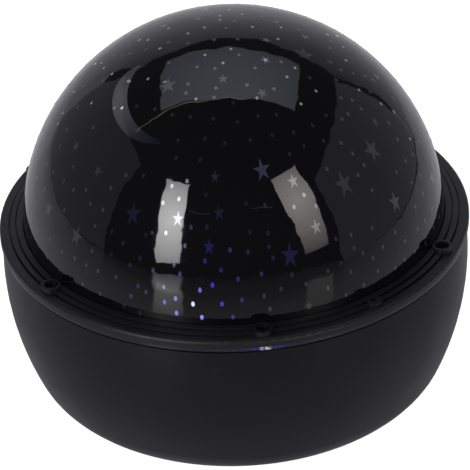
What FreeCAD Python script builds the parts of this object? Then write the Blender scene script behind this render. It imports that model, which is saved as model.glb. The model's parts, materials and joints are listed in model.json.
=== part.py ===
import FreeCAD, Part
import math
import os

# Star projector: a battery-driven lamp bowl with a printed dome that turns on top of it.
# Millimetres, +Z up. The origin is on the floor, under the middle of the bowl.
# Angles are in degrees about +Z, from +X. The front of the object is towards -Y.

V = FreeCAD.Vector
UP = V(0, 0, 1)

# ---------------------------------------------------------------- driving sizes
# dome and bezel, from the middle outwards
dome_r = 65.6
dome_wall = 1.6
dome_centre_rise = 2.9      # dome's centre above the bowl's rim
flange_t = 1.0
flange_inset = 0.4          # flange's edge inside the bezel's
bezel_play = 0.1            # bezel's bore round the dome
inner_land_w = 2.1          # bore to the middle of the first groove
middle_land_w = 2.1         # first groove to the second
outer_land_w = 3.1          # second groove to the bezel's edge
shoulder_h = 2.6            # outer land above the bezel's underside
land_step = 0.6             # each land is this much higher than the one outside it
groove_w = 0.5
groove_depth = 0.7
shoulder_fillet = 0.9
shadow_line = 0.25          # small rebate under the bezel's outer edge
shadow_line_depth = 0.5
screw_inset = 2.9           # bezel's bore to its screws' pitch circle
bezel_screw_count = 6
bezel_screw_angle = 275.7   # first screw, just right of the front
boss_wall = 0.95            # plastic round a screw's recess
boss_h = 4.3                # bezel boss above the bezel's underside
recess_room = 0.25          # recess round the screw's head
recess_floor = 1.2          # plastic left under the screw's head
index_boss_wall = 1.8
index_boss_drop = 0.4       # index boss is this much lower than a screw's boss
index_hole_r = 0.8
index_angle = 305.7         # locating pin near the front, its twin is opposite
index_depth = 1.6
pin_sunk = 1.5              # locating pin in the turntable
pin_fit = 0.05

# bowl
foot_proud = 1.5            # feet stand out under the bowl
bowl_depth = 52.1           # rim to flat bottom
rim_inset = 0.8             # bowl's rim inside the bezel's edge
belly_swell = 0.4           # widest radius over the rim's
side_arc_r = 90.0           # meridian arc of the side wall
corner_r = 14.6             # meridian arc between side and bottom
bowl_wall = 2.4
floor_t = 2.4
seam_gap = 0.8              # bowl rim to the dome's flange
rabbet_wall = 1.25          # thinner wall above the race ring
rabbet_depth = 10.0         # rim to the race ring's seat
race_land = 8.95            # width of that seat
rib_t = 2.4

# turntable and its race
turntable_play = 0.45       # turntable inside the bowl's rabbet
turntable_top_t = 2.0
skirt_t = 1.5
turn_boss_gap = 0.9         # boss ends above the race ring
turn_boss_in = 0.1          # boss inside the turntable's edge
race_t = 2.0
race_fit = 0.2              # race ring in the bowl's rabbet
collar_t = 1.6
guide_clearance = 0.3       # turntable's skirt round the collar
glide_gap = 0.1             # turntable above the race ring
ear_r = 4.0
ear_inset = 3.4             # race ring's inner edge to its screws
ear_angles = (30.0, 150.0, 270.0)
hook_angles = (0.0, 120.0, 240.0)
spare_rib_angles = (60.0, 180.0, 300.0)
hook_w = 8.0
hook_t = 1.6
hook_gap = 0.4              # hook above the gear and inside its teeth
hook_reach = 1.9
hook_foot = 1.0
post_r = 3.2

# gears
module = 1.0
gear_inset = 2.0            # race ring's inner edge to the teeth's pitch circle
pinion_teeth = 15
pressure_angle = 20.0
gear_face = 4.0
addendum = 1.0              # these four are in modules
dedendum = 1.25
ring_addendum = 0.65
gear_rim = 1.3
backlash = 0.14             # taken off each tooth's thickness
pinion_angle = 90.0         # the pinion sits at the back
pinion_hub_r = 4.0
pinion_hub_h = 1.6
pinion_top_gap = 0.3
collar_under_gear = 0.4     # race collar ends this far below the teeth

# drive
shaft_r = 1.5
shaft_clearance = 0.05
shaft_flat = 0.9            # shaft's middle to its flat
press_fit = 0.02            # pinion's bore round the shaft
gearbox_w = 22.0
gearbox_l = 28.0
gearbox_h = 10.0
gearbox_fillet = 2.0
gearbox_floor = 2.0         # under the shaft's bearing
gearbox_past_shaft = 5.5    # shaft to the gearbox's back face
gearbox_to_pinion = 0.5
gearbox_ear_w = 7.0
gearbox_ear_l = 8.0
gearbox_ear_t = 2.0
gearbox_ear_in = 8.0        # gearbox's front face to its ears' middle
shaft_end_gap = 0.2
motor_r = 10.0
motor_in = 11.0             # gearbox's front face to the motor's middle
motor_flat = 7.6            # the can's two flat sides
motor_fillet = 1.2
motor_floor_gap = 1.5       # motor's end above the door's screw block
motor_box_gap = 1.4         # motor to the battery box

# deck
deck_t = 2.0
deck_edge_gap = 1.9         # deck to the race ring's posts
deck_box_gap = 1.3          # deck above the battery box
deck_boss_inset = 6.83      # deck's edge to its screws
deck_boss_r = 3.5
deck_post_r = 3.0
motor_slot_clearance = 1.0

# boards
board_t = 1.6
board_corner_r = 1.5
board_screw_in = 3.5
standoff_h = 2.0
standoff_r = 2.6
standoff_screw_sunk = 1.4
led_board_l = 44.0
led_board_w = 26.0
led_board_y = -4.0
led_r = 2.5
led_rim = 0.4
led_rim_h = 1.0
led_h = 8.6
led_places = ((-13.0, -8.0), (0.0, -10.0), (13.0, -8.0), (0.0, 3.0))
control_board_l = 36.0
control_board_w = 15.0
control_board_y = -35.0
chip_l = 10.0
chip_w = 5.0
chip_h = 1.6
can_r = 2.5
can_h = 6.0
can_at = (9.0, 3.5)
socket_size = (5.0, 4.0, 4.0)
socket_at = (-9.5, -3.5)

# batteries
cell_r = 7.1
cell_len = 49.0
cell_fillet = 0.8
nub_r = 2.7
nub_h = 1.0
cell_count = 3
cell_gap = 1.2              # between neighbouring cells
cell_lift = 0.2
plate_t = 0.4
plate_inset = 1.9           # plate's edge inside the cell's
plate_low_cut = 0.6
nub_gap = 0.1
spring_room = 5.3
spring_r = 3.0
spring_wire_r = 0.35
spring_turns = 3
spring_steps = 10           # bends in each turn
spring_play = 0.05
box_wall = 1.5
box_side_room = 1.2
box_top_room = 0.3
box_ear_z = 8.0
box_ear_r = 4.0
box_ear_t = 2.0
box_post_inset = 0.6
divider_h = 3.0
divider_t = 0.6

# battery door
door_t = 2.0
door_gap = 0.3
hinge_gap = 0.5             # door's edge to the opening at the hinge
door_chamfer = 3.0          # under-cut of the hinge edge that lets the door swing
door_lift = 0.1             # bowl's notch over the door's lug
lug_r = 5.0
lug_reach = 4.4
lug_block_w = 14.0
lug_block_past = 2.0
lug_screw_room = 1.7        # block over the door screw's tip
lug_hole_roof = 1.0
tab_w = 8.0
tab_x = 14.0
tab_t = 1.2
tab_reach = 2.4
tab_lift = 0.05
tab_root = 3.4
tab_web_in = 0.75
tab_web_sunk = 0.5
tab_window_h = 3.6
tab_window_room = 0.5
grip_count = 5
grip_pitch = 2.2
grip_l = 18.0
grip_w = 1.2
grip_depth = 0.5
grip_in = 6.0               # first groove from the door's edge

# switch
switch_z = 29.0
pocket_w = 18.0
pocket_h = 9.0
pocket_depth = 2.0          # at the pocket's lower corners
switch_wall = 2.0
switch_body_w = 19.0
switch_body_h = 7.0
switch_body_d = 6.0
switch_ear_w = 3.6
switch_ear_t = 0.8
switch_screw_shift = 0.2
switch_pad_w = 30.0
switch_pad_h = 14.0
knob_w = 4.0
knob_h = 3.0
knob_travel = 3.0
knob_clearance = 0.2
knob_proud = 3.0            # knob's front before the pocket's floor
knob_root = 3.0
knob_groove_count = 4
knob_groove_pitch = 0.8
knob_groove_w = 0.5
knob_groove_depth = 0.4

# feet
foot_r = 5.0
foot_sunk = 0.8
foot_play = 0.1
foot_inset = 2.64           # foot to the edge of the bowl's flat bottom
foot_fillet = 0.5

# screws: head radius, head height, shank radius
bezel_screw = (1.9, 1.3, 1.05)
small_screw = (1.9, 1.2, 1.0)
door_screw_size = (2.3, 0.9, 1.1)
slot_w = 0.5
slot_reach = 0.62           # of the head's radius
slot_depth = 0.5            # of the head's height
thread_clearance = 0.05
hole_clearance = 0.3
head_clearance = 0.2
long_screw = 9.0            # race, deck and gearbox screws
box_screw_len = 6.0
switch_screw_grip = 1.4     # switch screw in the wall
door_screw_len = 5.6
bezel_screw_grip = 5.5      # bezel screw in the turntable's boss
tip_room = 0.2              # hole past a screw's tip

# wires
wire_r = 0.6
wire_hole_r = 2.0
wire_under_deck = 6.0       # low runs, below the deck
wire_over_boards = 8.4      # high runs, above the boards
wire_pair_half = 0.8
solder_row_in = 2.5         # solder pads from the control board's inner edge
led_pad_in = 3.0            # solder pads from the LED board's front edge
tag_in = 1.1                # switch's solder tags above its underside
battery_pad_x = 14.0        # each wire's place in the row of solder pads
switch_pad_x = -10.0
motor_pad_x = -5.0
led_pad_x = 2.0
battery_hole_out = 8.8      # wire holes in the deck, out from the battery box's side
battery_hole_y = -20.0
motor_hole_out = 7.8
motor_hole_y = 20.0
switch_hole_out = 14.8
switch_hole_y = 8.0
switch_wire_bend_y = -20.0  # high runs turn towards the pads here
motor_wire_bend_y = -12.0
motor_wire_in = 9.0         # motor wires' turn from the deck's bosses
box_exit_y = 16.0           # switch's wire leaves the battery box here
box_exit_drop = 8.0         # and this far below the deck
tag_x = 5.0                 # switch's solder tags from its middle
tag_run = 6.2               # straight stretch at the tags
# stretches round the deck's edge: out from the edge, angle, below the deck
edge_route = ((-3.0, 33.7, 7.0), (3.35, 50.7, 5.0), (3.9, 67.5, 1.0))

over = 1.0                  # cutters run past a face by this much


# ---------------------------------------------------------------- worked-out places
# radii
bezel_bore_r = dome_r + bezel_play
groove_r_inner = bezel_bore_r + inner_land_w
groove_r_outer = groove_r_inner + middle_land_w
bezel_r = groove_r_outer + outer_land_w
flange_r = bezel_r - flange_inset
rim_r = bezel_r - rim_inset
belly_r = rim_r + belly_swell
rabbet_r = rim_r - rabbet_wall
turntable_r = rabbet_r - turntable_play
rib_inner_r = rabbet_r - race_land
screw_pitch_r = bezel_bore_r + screw_inset
turn_boss_r = turntable_r - screw_pitch_r - turn_boss_in
recess_r = bezel_screw[0] + recess_room
boss_r = recess_r + boss_wall
index_boss_r = index_hole_r + index_boss_wall
collar_outer_r = rib_inner_r + collar_t
skirt_inner_r = collar_outer_r + guide_clearance
ear_pitch_r = rib_inner_r - ear_inset
deck_r = ear_pitch_r - post_r - deck_edge_gap

# gears
ring_teeth = round(2 * (rib_inner_r - gear_inset) / module)
ring_pitch_r = module * ring_teeth / 2.0
pinion_pitch_r = module * pinion_teeth / 2.0
pinion_at = ring_pitch_r - pinion_pitch_r

# heights
bottom_z = foot_proud
floor_z = foot_proud + floor_t
rim_z = foot_proud + bowl_depth
race_z = rim_z - rabbet_depth
race_top = race_z + race_t
flange_z = rim_z + seam_gap
bezel_z = flange_z + flange_t
dome_z = rim_z + dome_centre_rise
turntable_under = flange_z - turntable_top_t
gear_z = turntable_under - gear_face
pinion_top = turntable_under - pinion_top_gap
gearbox_top = gear_z - pinion_hub_h - gearbox_to_pinion
gearbox_z = gearbox_top - gearbox_h

# the bowl's side
belly_z = rim_z - math.sqrt(side_arc_r ** 2 - (side_arc_r - belly_swell) ** 2)
side_arc_x = belly_r - side_arc_r
corner_z = bottom_z + corner_r
flat_r = side_arc_x + math.sqrt((side_arc_r - corner_r) ** 2 - (belly_z - corner_z) ** 2)
foot_at = (flat_r - foot_r - foot_inset) / math.sqrt(2)

# gearbox, motor and deck
gearbox_y1 = pinion_at + gearbox_past_shaft
gearbox_y0 = gearbox_y1 - gearbox_l
gearbox_ear_y = gearbox_y0 + gearbox_ear_in
gearbox_ear_x = gearbox_w / 2 + gearbox_ear_w / 2
motor_y = gearbox_y0 + motor_in
lug_block_top = bottom_z + door_screw_size[1] + head_clearance / 2 + door_screw_len + lug_screw_room
motor_low_z = lug_block_top + motor_floor_gap

# batteries and their box
cell_pitch = 2 * cell_r + cell_gap
cell_z = bottom_z + door_t + cell_lift + cell_r
cavity_l = cell_len + nub_h + spring_room + nub_gap + 2 * plate_t
cavity_y1 = motor_y - motor_r - motor_box_gap - box_wall
cavity_y0 = cavity_y1 - cavity_l
cavity_mid_y = (cavity_y0 + cavity_y1) / 2
cavity_half_w = ((cell_count - 1) * cell_pitch) / 2.0 + cell_r + box_side_room
cavity_top = cell_z + cell_r + box_top_room
box_side_x = cavity_half_w + box_wall
box_ear_x = box_side_x + box_ear_r
lug_y = cavity_y1 + lug_reach
deck_z = cavity_top + box_wall + deck_box_gap
deck_top = deck_z + deck_t
deck_boss_at = (deck_r - deck_boss_inset) / math.sqrt(2)
board_z = deck_top + standoff_h
board_top = board_z + board_t

# switch
pocket_low_r = side_arc_x + math.sqrt(side_arc_r ** 2 - (belly_z - switch_z + pocket_h / 2) ** 2)
pocket_y = math.sqrt(pocket_low_r ** 2 - (pocket_w / 2) ** 2) - pocket_depth
switch_y = pocket_y - switch_wall
switch_end = switch_y - switch_body_d
knob_front_y = pocket_y + knob_proud
switch_screw_x = switch_body_w / 2 + switch_ear_w / 2 + switch_screw_shift

# wires
wire_low_z = deck_z - wire_under_deck
wire_high_z = board_top + wire_over_boards
solder_row_y = control_board_y + control_board_w / 2 - solder_row_in
tag_z = switch_z - switch_body_h / 2 + tag_in
tag_bend_y = switch_end - tag_run
box_exit_z = deck_z - box_exit_drop
battery_wire_at = (box_side_x + battery_hole_out, battery_hole_y)
motor_wire_at = (-box_side_x - motor_hole_out, motor_hole_y)
switch_wire_at = (-box_side_x - switch_hole_out, switch_hole_y)
motor_bend_x = -deck_boss_at + motor_wire_in

corners = ((1, 1), (1, -1), (-1, 1), (-1, -1))


# ---------------------------------------------------------------- helpers
def cyl(r, h, x=0.0, y=0.0, z=0.0, axis=UP):
    return Part.makeCylinder(r, h, V(x, y, z), axis)


def hole(size, depth, x, y, z, axis=UP):
    """The hole that a screw of this size is driven into, from its bottom (x, y, z) along axis."""
    return cyl(size[2] + thread_clearance, depth, x, y, z, axis)


def tube(r_out, r_in, h, z):
    return cyl(r_out, h, z=z).cut(cyl(r_in, h, z=z))


def block(x0, x1, y0, y1, z0, z1):
    return Part.makeBox(x1 - x0, y1 - y0, z1 - z0, V(x0, y0, z0))


def turned(shape, degrees, x=0.0, y=0.0):
    copy = shape.copy()
    copy.rotate(V(x, y, 0), UP, degrees)
    return copy


def polar(r, degrees):
    a = math.radians(degrees)
    return r * math.cos(a), r * math.sin(a)


def fuse(shapes):
    whole = shapes[0].multiFuse(shapes[1:]) if len(shapes) > 1 else shapes[0]
    return whole.removeSplitter()


def cut(shape, tools):
    return shape.cut(Part.makeCompound(tools)) if tools else shape


def revolve(edges):
    """A solid of revolution about Z from a closed run of edges in the XZ plane."""
    face = Part.Face(Part.Wire(edges))
    return face.revolve(V(0, 0, 0), UP, 360)


def line(a, b):
    return Part.LineSegment(V(a[0], 0, a[1]), V(b[0], 0, b[1])).toShape()


def arc(a, m, b):
    return Part.Arc(V(a[0], 0, a[1]), V(m[0], 0, m[1]), V(b[0], 0, b[1])).toShape()


def path_run(points):
    return [line(a, b) for a, b in zip(points, points[1:])]


def save(name, solids):
    """Writes one node: a solid, or a group of separate solids."""
    solids = solids if isinstance(solids, list) else [solids]
    parts = [s for shape in solids for s in shape.Solids]
    shape = parts[0] if len(parts) == 1 else Part.makeCompound(parts)
    shape.exportStep("parts/" + name + ".step")


def screw(size, length, x, y, z, axis=UP):
    """A pan-head screw. (x, y, z) is under its head, and axis points from the shank to the head."""
    head_r, head_h, shank_r = size
    back = V(axis).multiply(-length)
    shank = cyl(shank_r, length, x + back.x, y + back.y, z + back.z, axis)
    head = cyl(head_r, head_h, x, y, z, axis)
    body = shank.fuse(head).removeSplitter()
    half_l = head_r * slot_reach
    half_w = slot_w / 2
    top = head_h * (1 - slot_depth)
    slots = [block(-half_l, half_l, -half_w, half_w, top, head_h + over),
             block(-half_w, half_w, -half_l, half_l, top, head_h + over)]
    cross = slots[0].fuse(slots[1])
    cross.Placement = FreeCAD.Placement(V(x, y, z), FreeCAD.Rotation(UP, axis))
    return body.cut(cross)


def bowl_outline(offset, low_z, top_z):
    """Edges of half the bowl's section, with its wall moved inwards by offset."""
    big = side_arc_r - offset
    small = corner_r - offset

    def on_side(z):
        return side_arc_x + math.sqrt(big ** 2 - (belly_z - z) ** 2)

    meet = math.atan2(belly_z - corner_z, flat_r - side_arc_x)
    join = (side_arc_x + big * math.cos(meet), belly_z - big * math.sin(meet))
    low = math.asin(min(1.0, (corner_z - low_z) / small))
    end = (flat_r + small * math.cos(low), corner_z - small * math.sin(low))
    mid = (meet + low) / 2.0
    mid_corner = (flat_r + small * math.cos(mid), corner_z - small * math.sin(mid))
    mid_z = (join[1] + top_z) / 2.0
    edges = [line((0, low_z), end)]
    edges.append(arc(end, mid_corner, join))
    edges.append(arc(join, (on_side(mid_z), mid_z), (on_side(top_z), top_z)))
    edges.append(line((on_side(top_z), top_z), (0, top_z)))
    edges.append(line((0, top_z), (0, low_z)))
    return edges


def involute(angle):
    return math.tan(angle) - angle


def gear_outline(teeth, tip_r, root_r, thinner, first_angle):
    """Closed points of a spur gear's outline, with involute flanks of three spans each."""
    pitch_r = module * teeth / 2.0
    alpha = math.radians(pressure_angle)
    base_r = pitch_r * math.cos(alpha)
    half = math.pi / (2 * teeth) - thinner / (2 * pitch_r)
    low_r = max(base_r, root_r)
    radii = [low_r + (tip_r - low_r) * k / 3.0 for k in range(4)]
    half_at = [half + involute(alpha) - involute(math.acos(min(1.0, base_r / r))) for r in radii]
    if root_r < base_r:
        radii.insert(0, root_r)
        half_at.insert(0, half_at[0])
    points = []
    for i in range(teeth):
        middle = math.radians(first_angle) + 2 * math.pi * i / teeth
        flank = list(zip(radii, half_at))
        for r, h in flank:
            points.append(V(r * math.cos(middle - h), r * math.sin(middle - h), 0))
        for r, h in reversed(flank):
            points.append(V(r * math.cos(middle + h), r * math.sin(middle + h), 0))
    points.append(points[0])
    return points


def gear_solid(points, z, height):
    face = Part.Face(Part.makePolygon(points))
    face.translate(V(0, 0, z))
    return face.extrude(V(0, 0, height))


def wire_tube(points, radius):
    """A wire of straight runs joined by tangent arcs, as large as the runs allow."""
    p = [V(*q) for q in points]
    edges = []
    start = p[0]
    for i in range(1, len(p) - 1):
        before = (p[i - 1] - p[i])
        after = (p[i + 1] - p[i])
        run = 0.45 * min(before.Length, after.Length)
        before.normalize()
        after.normalize()
        a = p[i] + before * run
        b = p[i] + after * run
        half_turn = (math.pi - before.getAngle(after)) / 2.0
        bend_r = run / math.tan(half_turn)
        to_centre = (before + after).normalize()
        centre = p[i] + to_centre * (bend_r / math.cos(half_turn))
        edges.append(Part.LineSegment(start, a).toShape())
        edges.append(Part.Arc(a, centre - to_centre * bend_r, b).toShape())
        start = b
    edges.append(Part.LineSegment(start, p[-1]).toShape())
    spine = Part.Wire(edges)
    circle = Part.Wire(Part.makeCircle(radius, p[0], p[1] - p[0]))
    return spine.makePipeShell([circle], True, True)


# ---------------------------------------------------------------- bowl
def outer_bowl():
    return revolve(bowl_outline(0.0, bottom_z, rim_z))


def bowl_insides():
    """Ribs, posts and bosses on the bowl's inner side. They run out to the middle of its wall."""
    rib = block(rib_inner_r, rim_r, -rib_t / 2, rib_t / 2, floor_z, race_z)
    shapes = [turned(rib, angle) for angle in hook_angles + spare_rib_angles]
    for angle in ear_angles:
        x, y = polar(ear_pitch_r, angle)
        shapes.append(cyl(post_r, race_z - bottom_z, x, y, bottom_z))
        shapes.append(turned(block(ear_pitch_r, rim_r, -rib_t / 2, rib_t / 2, floor_z, race_z), angle))
    for sx, sy in corners:
        shapes.append(cyl(deck_boss_r, deck_z - bottom_z, sx * deck_boss_at, sy * deck_boss_at, bottom_z))
    for side in (-1, 1):
        shapes.append(cyl(box_ear_r - box_post_inset, floor_z + box_ear_z - bottom_z,
                          side * box_ear_x, cavity_mid_y, bottom_z))
    shapes.append(block(-switch_pad_w / 2, switch_pad_w / 2, switch_y, rim_r,
                        switch_z - switch_pad_h / 2, switch_z + switch_pad_h / 2))
    shapes.append(block(-lug_block_w / 2, lug_block_w / 2, cavity_y1 + box_wall,
                        lug_y + lug_r + lug_block_past, bottom_z + door_t + door_lift, lug_block_top))
    return shapes


def bowl_door_cuts():
    low = bottom_z - over
    notch_h = door_t + door_lift + over
    wide = lug_r + door_gap
    cuts = [block(-cavity_half_w, cavity_half_w, cavity_y0, cavity_y1, low, floor_z),
            cyl(wide, notch_h, 0, lug_y, low),
            block(-wide, wide, cavity_y1 - over, lug_y, low, low + notch_h)]
    screw_hole_top = lug_block_top - lug_hole_roof
    cuts.append(cyl(door_screw_size[2] + hole_clearance, screw_hole_top - low, 0, lug_y, low))
    return cuts


def bowl_switch_cuts():
    slot_half = knob_w / 2 + knob_travel + knob_clearance
    slot_up = knob_h / 2 + knob_clearance
    body_half = switch_body_w / 2 + switch_ear_w + knob_clearance
    body_up = switch_body_h / 2 + knob_clearance
    cuts = [block(-pocket_w / 2, pocket_w / 2, pocket_y, rim_r + over,
                  switch_z - pocket_h / 2, switch_z + pocket_h / 2),
            block(-slot_half, slot_half, switch_y - over, pocket_y + over,
                  switch_z - slot_up, switch_z + slot_up),
            block(-body_half, body_half, switch_end, switch_y, switch_z - body_up, switch_z + body_up)]
    for side in (-1, 1):
        cuts.append(hole(small_screw, switch_screw_grip + tip_room, side * switch_screw_x, switch_y,
                         switch_z, V(0, 1, 0)))
    return cuts


def bowl_shell():
    solid = outer_bowl()
    hollow = revolve(bowl_outline(bowl_wall, floor_z, rim_z))
    hollow = hollow.fuse(cyl(rabbet_r, rabbet_depth + over, z=race_z))
    wall_middle = revolve(bowl_outline(bowl_wall / 2, bottom_z + floor_t / 2, rim_z))
    shell = fuse([solid.cut(hollow)] + [shape.common(wall_middle) for shape in bowl_insides()])
    holes = bowl_door_cuts() + bowl_switch_cuts()
    for angle in ear_angles:
        x, y = polar(ear_pitch_r, angle)
        holes.append(hole(small_screw, long_screw, x, y, race_z - long_screw))
    for sx, sy in corners:
        holes.append(hole(small_screw, long_screw, sx * deck_boss_at, sy * deck_boss_at,
                          deck_z - long_screw))
        holes.append(cyl(foot_r + foot_play, foot_sunk + over, sx * foot_at, sy * foot_at, bottom_z - over))
    for side in (-1, 1):
        holes.append(hole(small_screw, box_screw_len, side * box_ear_x, cavity_mid_y,
                          floor_z + box_ear_z - box_screw_len))
    return cut(shell, holes)


def rubber_feet():
    feet = []
    for sx, sy in corners:
        foot = cyl(foot_r, foot_proud + foot_sunk, sx * foot_at, sy * foot_at)
        rim = [e for e in foot.Edges if e.BoundBox.ZMax < foot_fillet and e.Length > foot_r]
        feet.append(foot.makeFillet(foot_fillet, rim))
    return feet


# ---------------------------------------------------------------- race ring and deck
def race_ring():
    parts = [tube(rabbet_r - race_fit, rib_inner_r, race_t, race_z),
             tube(collar_outer_r, rib_inner_r, gear_z - collar_under_gear - race_top, race_top)]
    for angle in ear_angles:
        ear = cyl(ear_r, race_t, ear_pitch_r, 0, race_z)
        arm = block(ear_pitch_r, collar_outer_r, -ear_r, ear_r, race_z, race_top)
        parts.append(turned(ear.fuse(arm), angle))
    hook_out = ring_pitch_r - ring_addendum * module - hook_gap
    hook_in = hook_out - hook_t
    hook_z = turntable_under + hook_gap
    hook_top = hook_z + hook_t
    for angle in hook_angles:
        foot = block(hook_in - hook_foot, collar_outer_r, -hook_w / 2, hook_w / 2, race_z, race_top)
        stem = block(hook_in, hook_out, -hook_w / 2, hook_w / 2, race_z, hook_top)
        nose = block(hook_in, hook_out + hook_reach, -hook_w / 2, hook_w / 2, hook_z, hook_top)
        parts.append(turned(fuse([foot, stem, nose]), angle))
    holes = []
    for angle in ear_angles:
        x, y = polar(ear_pitch_r, angle)
        holes.append(hole(small_screw, race_t, x, y, race_z))
    return cut(fuse(parts), holes)


def race_screws():
    places = [polar(ear_pitch_r, angle) for angle in ear_angles]
    return [screw(small_screw, long_screw, x, y, race_top) for x, y in places]


def deck():
    slot_half = motor_r + motor_slot_clearance
    slot = block(-slot_half, slot_half, motor_y - slot_half, deck_r + over, deck_z, deck_top)
    parts = [cyl(deck_r, deck_t, z=deck_z).cut(slot)]
    for side in (-1, 1):
        parts.append(cyl(deck_post_r, gearbox_z - deck_z, side * gearbox_ear_x, gearbox_ear_y, deck_z))
    for x, y in led_board_posts() + control_board_posts():
        parts.append(cyl(standoff_r, board_z - deck_z, x, y, deck_z))
    holes = []
    for side in (-1, 1):
        holes.append(hole(small_screw, long_screw, side * gearbox_ear_x, gearbox_ear_y,
                          gearbox_z - long_screw))
    sunk = standoff_h + standoff_screw_sunk
    for x, y in led_board_screws() + control_board_posts():
        holes.append(hole(small_screw, sunk, x, y, board_z - sunk))
    for sx, sy in corners:
        holes.append(hole(small_screw, deck_t, sx * deck_boss_at, sy * deck_boss_at, deck_z))
    for x, y in (battery_wire_at, motor_wire_at, switch_wire_at):
        holes.append(cyl(wire_hole_r, deck_t, x, y, deck_z))
    return cut(fuse(parts), holes)


def deck_screws():
    return [screw(small_screw, long_screw, sx * deck_boss_at, sy * deck_boss_at, deck_top)
            for sx, sy in corners]


# ---------------------------------------------------------------- lights and control
def led_board_posts():
    x = led_board_l / 2 - board_screw_in
    y = led_board_w / 2 - board_screw_in
    return [(sx * x, led_board_y + sy * y) for sx, sy in corners]


def led_board_screws():
    """Two of the board's four posts, on a diagonal, take a screw."""
    posts = led_board_posts()
    return [posts[0], posts[3]]


def control_board_posts():
    x = control_board_l / 2 - board_screw_in
    return [(-x, control_board_y), (x, control_board_y)]


def board(length, width, y, screw_places):
    plate = block(-length / 2, length / 2, y - width / 2, y + width / 2, board_z, board_top)
    upright = [e for e in plate.Edges if e.BoundBox.ZLength > board_t / 2]
    plate = plate.makeFillet(board_corner_r, upright)
    return cut(plate, [hole(small_screw, board_t, px, py, board_z) for px, py in screw_places])


def led_board():
    return board(led_board_l, led_board_w, led_board_y, led_board_screws())


def control_board():
    return board(control_board_l, control_board_w, control_board_y, control_board_posts())


def board_screws():
    return [screw(small_screw, board_t + standoff_h, x, y, board_top)
            for x, y in led_board_screws() + control_board_posts()]


def leds():
    made = []
    for x, y in led_places:
        lens = cyl(led_r, led_h - led_r, x, y, board_top)
        rim = cyl(led_r + led_rim, led_rim_h, x, y, board_top)
        tip = Part.makeSphere(led_r, V(x, y, board_top + led_h - led_r))
        made.append(fuse([lens, rim, tip]))
    return made


def on_board(size, x, y):
    """A block part that stands on the control board, with its middle at (x, y)."""
    length, width, height = size
    return block(x - length / 2, x + length / 2, y - width / 2, y + width / 2, board_top, board_top + height)


def control_parts():
    chip = on_board((chip_l, chip_w, chip_h), 0, control_board_y)
    can = cyl(can_r, can_h, can_at[0], control_board_y + can_at[1], board_top)
    socket = on_board(socket_size, socket_at[0], control_board_y + socket_at[1])
    return [chip, can, socket]


# ---------------------------------------------------------------- drive
def gearbox_case():
    half = gearbox_w / 2
    case = block(-half, half, gearbox_y0, gearbox_y1, gearbox_z, gearbox_top)
    upright = [e for e in case.Edges if e.BoundBox.ZLength > gearbox_h / 2]
    case = case.makeFillet(gearbox_fillet, upright)
    ears = block(-half - gearbox_ear_w, half + gearbox_ear_w, gearbox_ear_y - gearbox_ear_l / 2,
                 gearbox_ear_y + gearbox_ear_l / 2, gearbox_z, gearbox_z + gearbox_ear_t)
    holes = [cyl(shaft_r + shaft_clearance, gearbox_h, 0, pinion_at, gearbox_z + gearbox_floor)]
    for side in (-1, 1):
        holes.append(hole(small_screw, gearbox_ear_t, side * gearbox_ear_x, gearbox_ear_y, gearbox_z))
    return cut(fuse([case, ears]), holes)


def gearbox_screws():
    return [screw(small_screw, long_screw, side * gearbox_ear_x, gearbox_ear_y, gearbox_z + gearbox_ear_t)
            for side in (-1, 1)]


def motor_can():
    can = cyl(motor_r, gearbox_z - motor_low_z, 0, motor_y, motor_low_z)
    low_rim = [e for e in can.Edges if e.BoundBox.ZMax < motor_low_z + motor_fillet]
    can = can.makeFillet(motor_fillet, low_rim)
    y0 = motor_y - motor_r - over
    y1 = motor_y + motor_r + over
    return cut(can, [block(-motor_r - over, -motor_flat, y0, y1, 0, gearbox_z),
                     block(motor_flat, motor_r + over, y0, y1, 0, gearbox_z)])


def output_shaft():
    low = gearbox_z + gearbox_floor + shaft_end_gap
    shaft = cyl(shaft_r, pinion_top - low, 0, pinion_at, low)
    flat = block(-shaft_r, shaft_r, pinion_at + shaft_flat, pinion_at + shaft_r + over,
                 gearbox_top + gearbox_to_pinion / 2, pinion_top)
    return shaft.cut(flat)


def drive_pinion():
    tip_r = pinion_pitch_r + addendum * module
    root_r = pinion_pitch_r - dedendum * module
    outline = gear_outline(pinion_teeth, tip_r, root_r, backlash, pinion_angle)
    teeth = gear_solid(outline, gear_z, pinion_top - gear_z)
    teeth.translate(V(0, pinion_at, 0))
    low = gear_z - pinion_hub_h
    shape = teeth.fuse(cyl(pinion_hub_r, pinion_hub_h, 0, pinion_at, low))
    bore_r = shaft_r + press_fit
    bore = cyl(bore_r, pinion_top - low + 2 * over, 0, pinion_at, low - over)
    key = block(-bore_r - over, bore_r + over, pinion_at + shaft_flat + press_fit, pinion_at + bore_r + over,
                low - over, pinion_top + over)
    return shape.cut(bore.cut(key))


# ---------------------------------------------------------------- battery compartment
def cell_columns():
    """Each cell's x, and the way its nub points along Y."""
    first = -(cell_count - 1) / 2.0 * cell_pitch
    return [(first + i * cell_pitch, 1 if i % 2 == 0 else -1) for i in range(cell_count)]


def cavity_end(way):
    return cavity_y1 if way > 0 else cavity_y0


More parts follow.
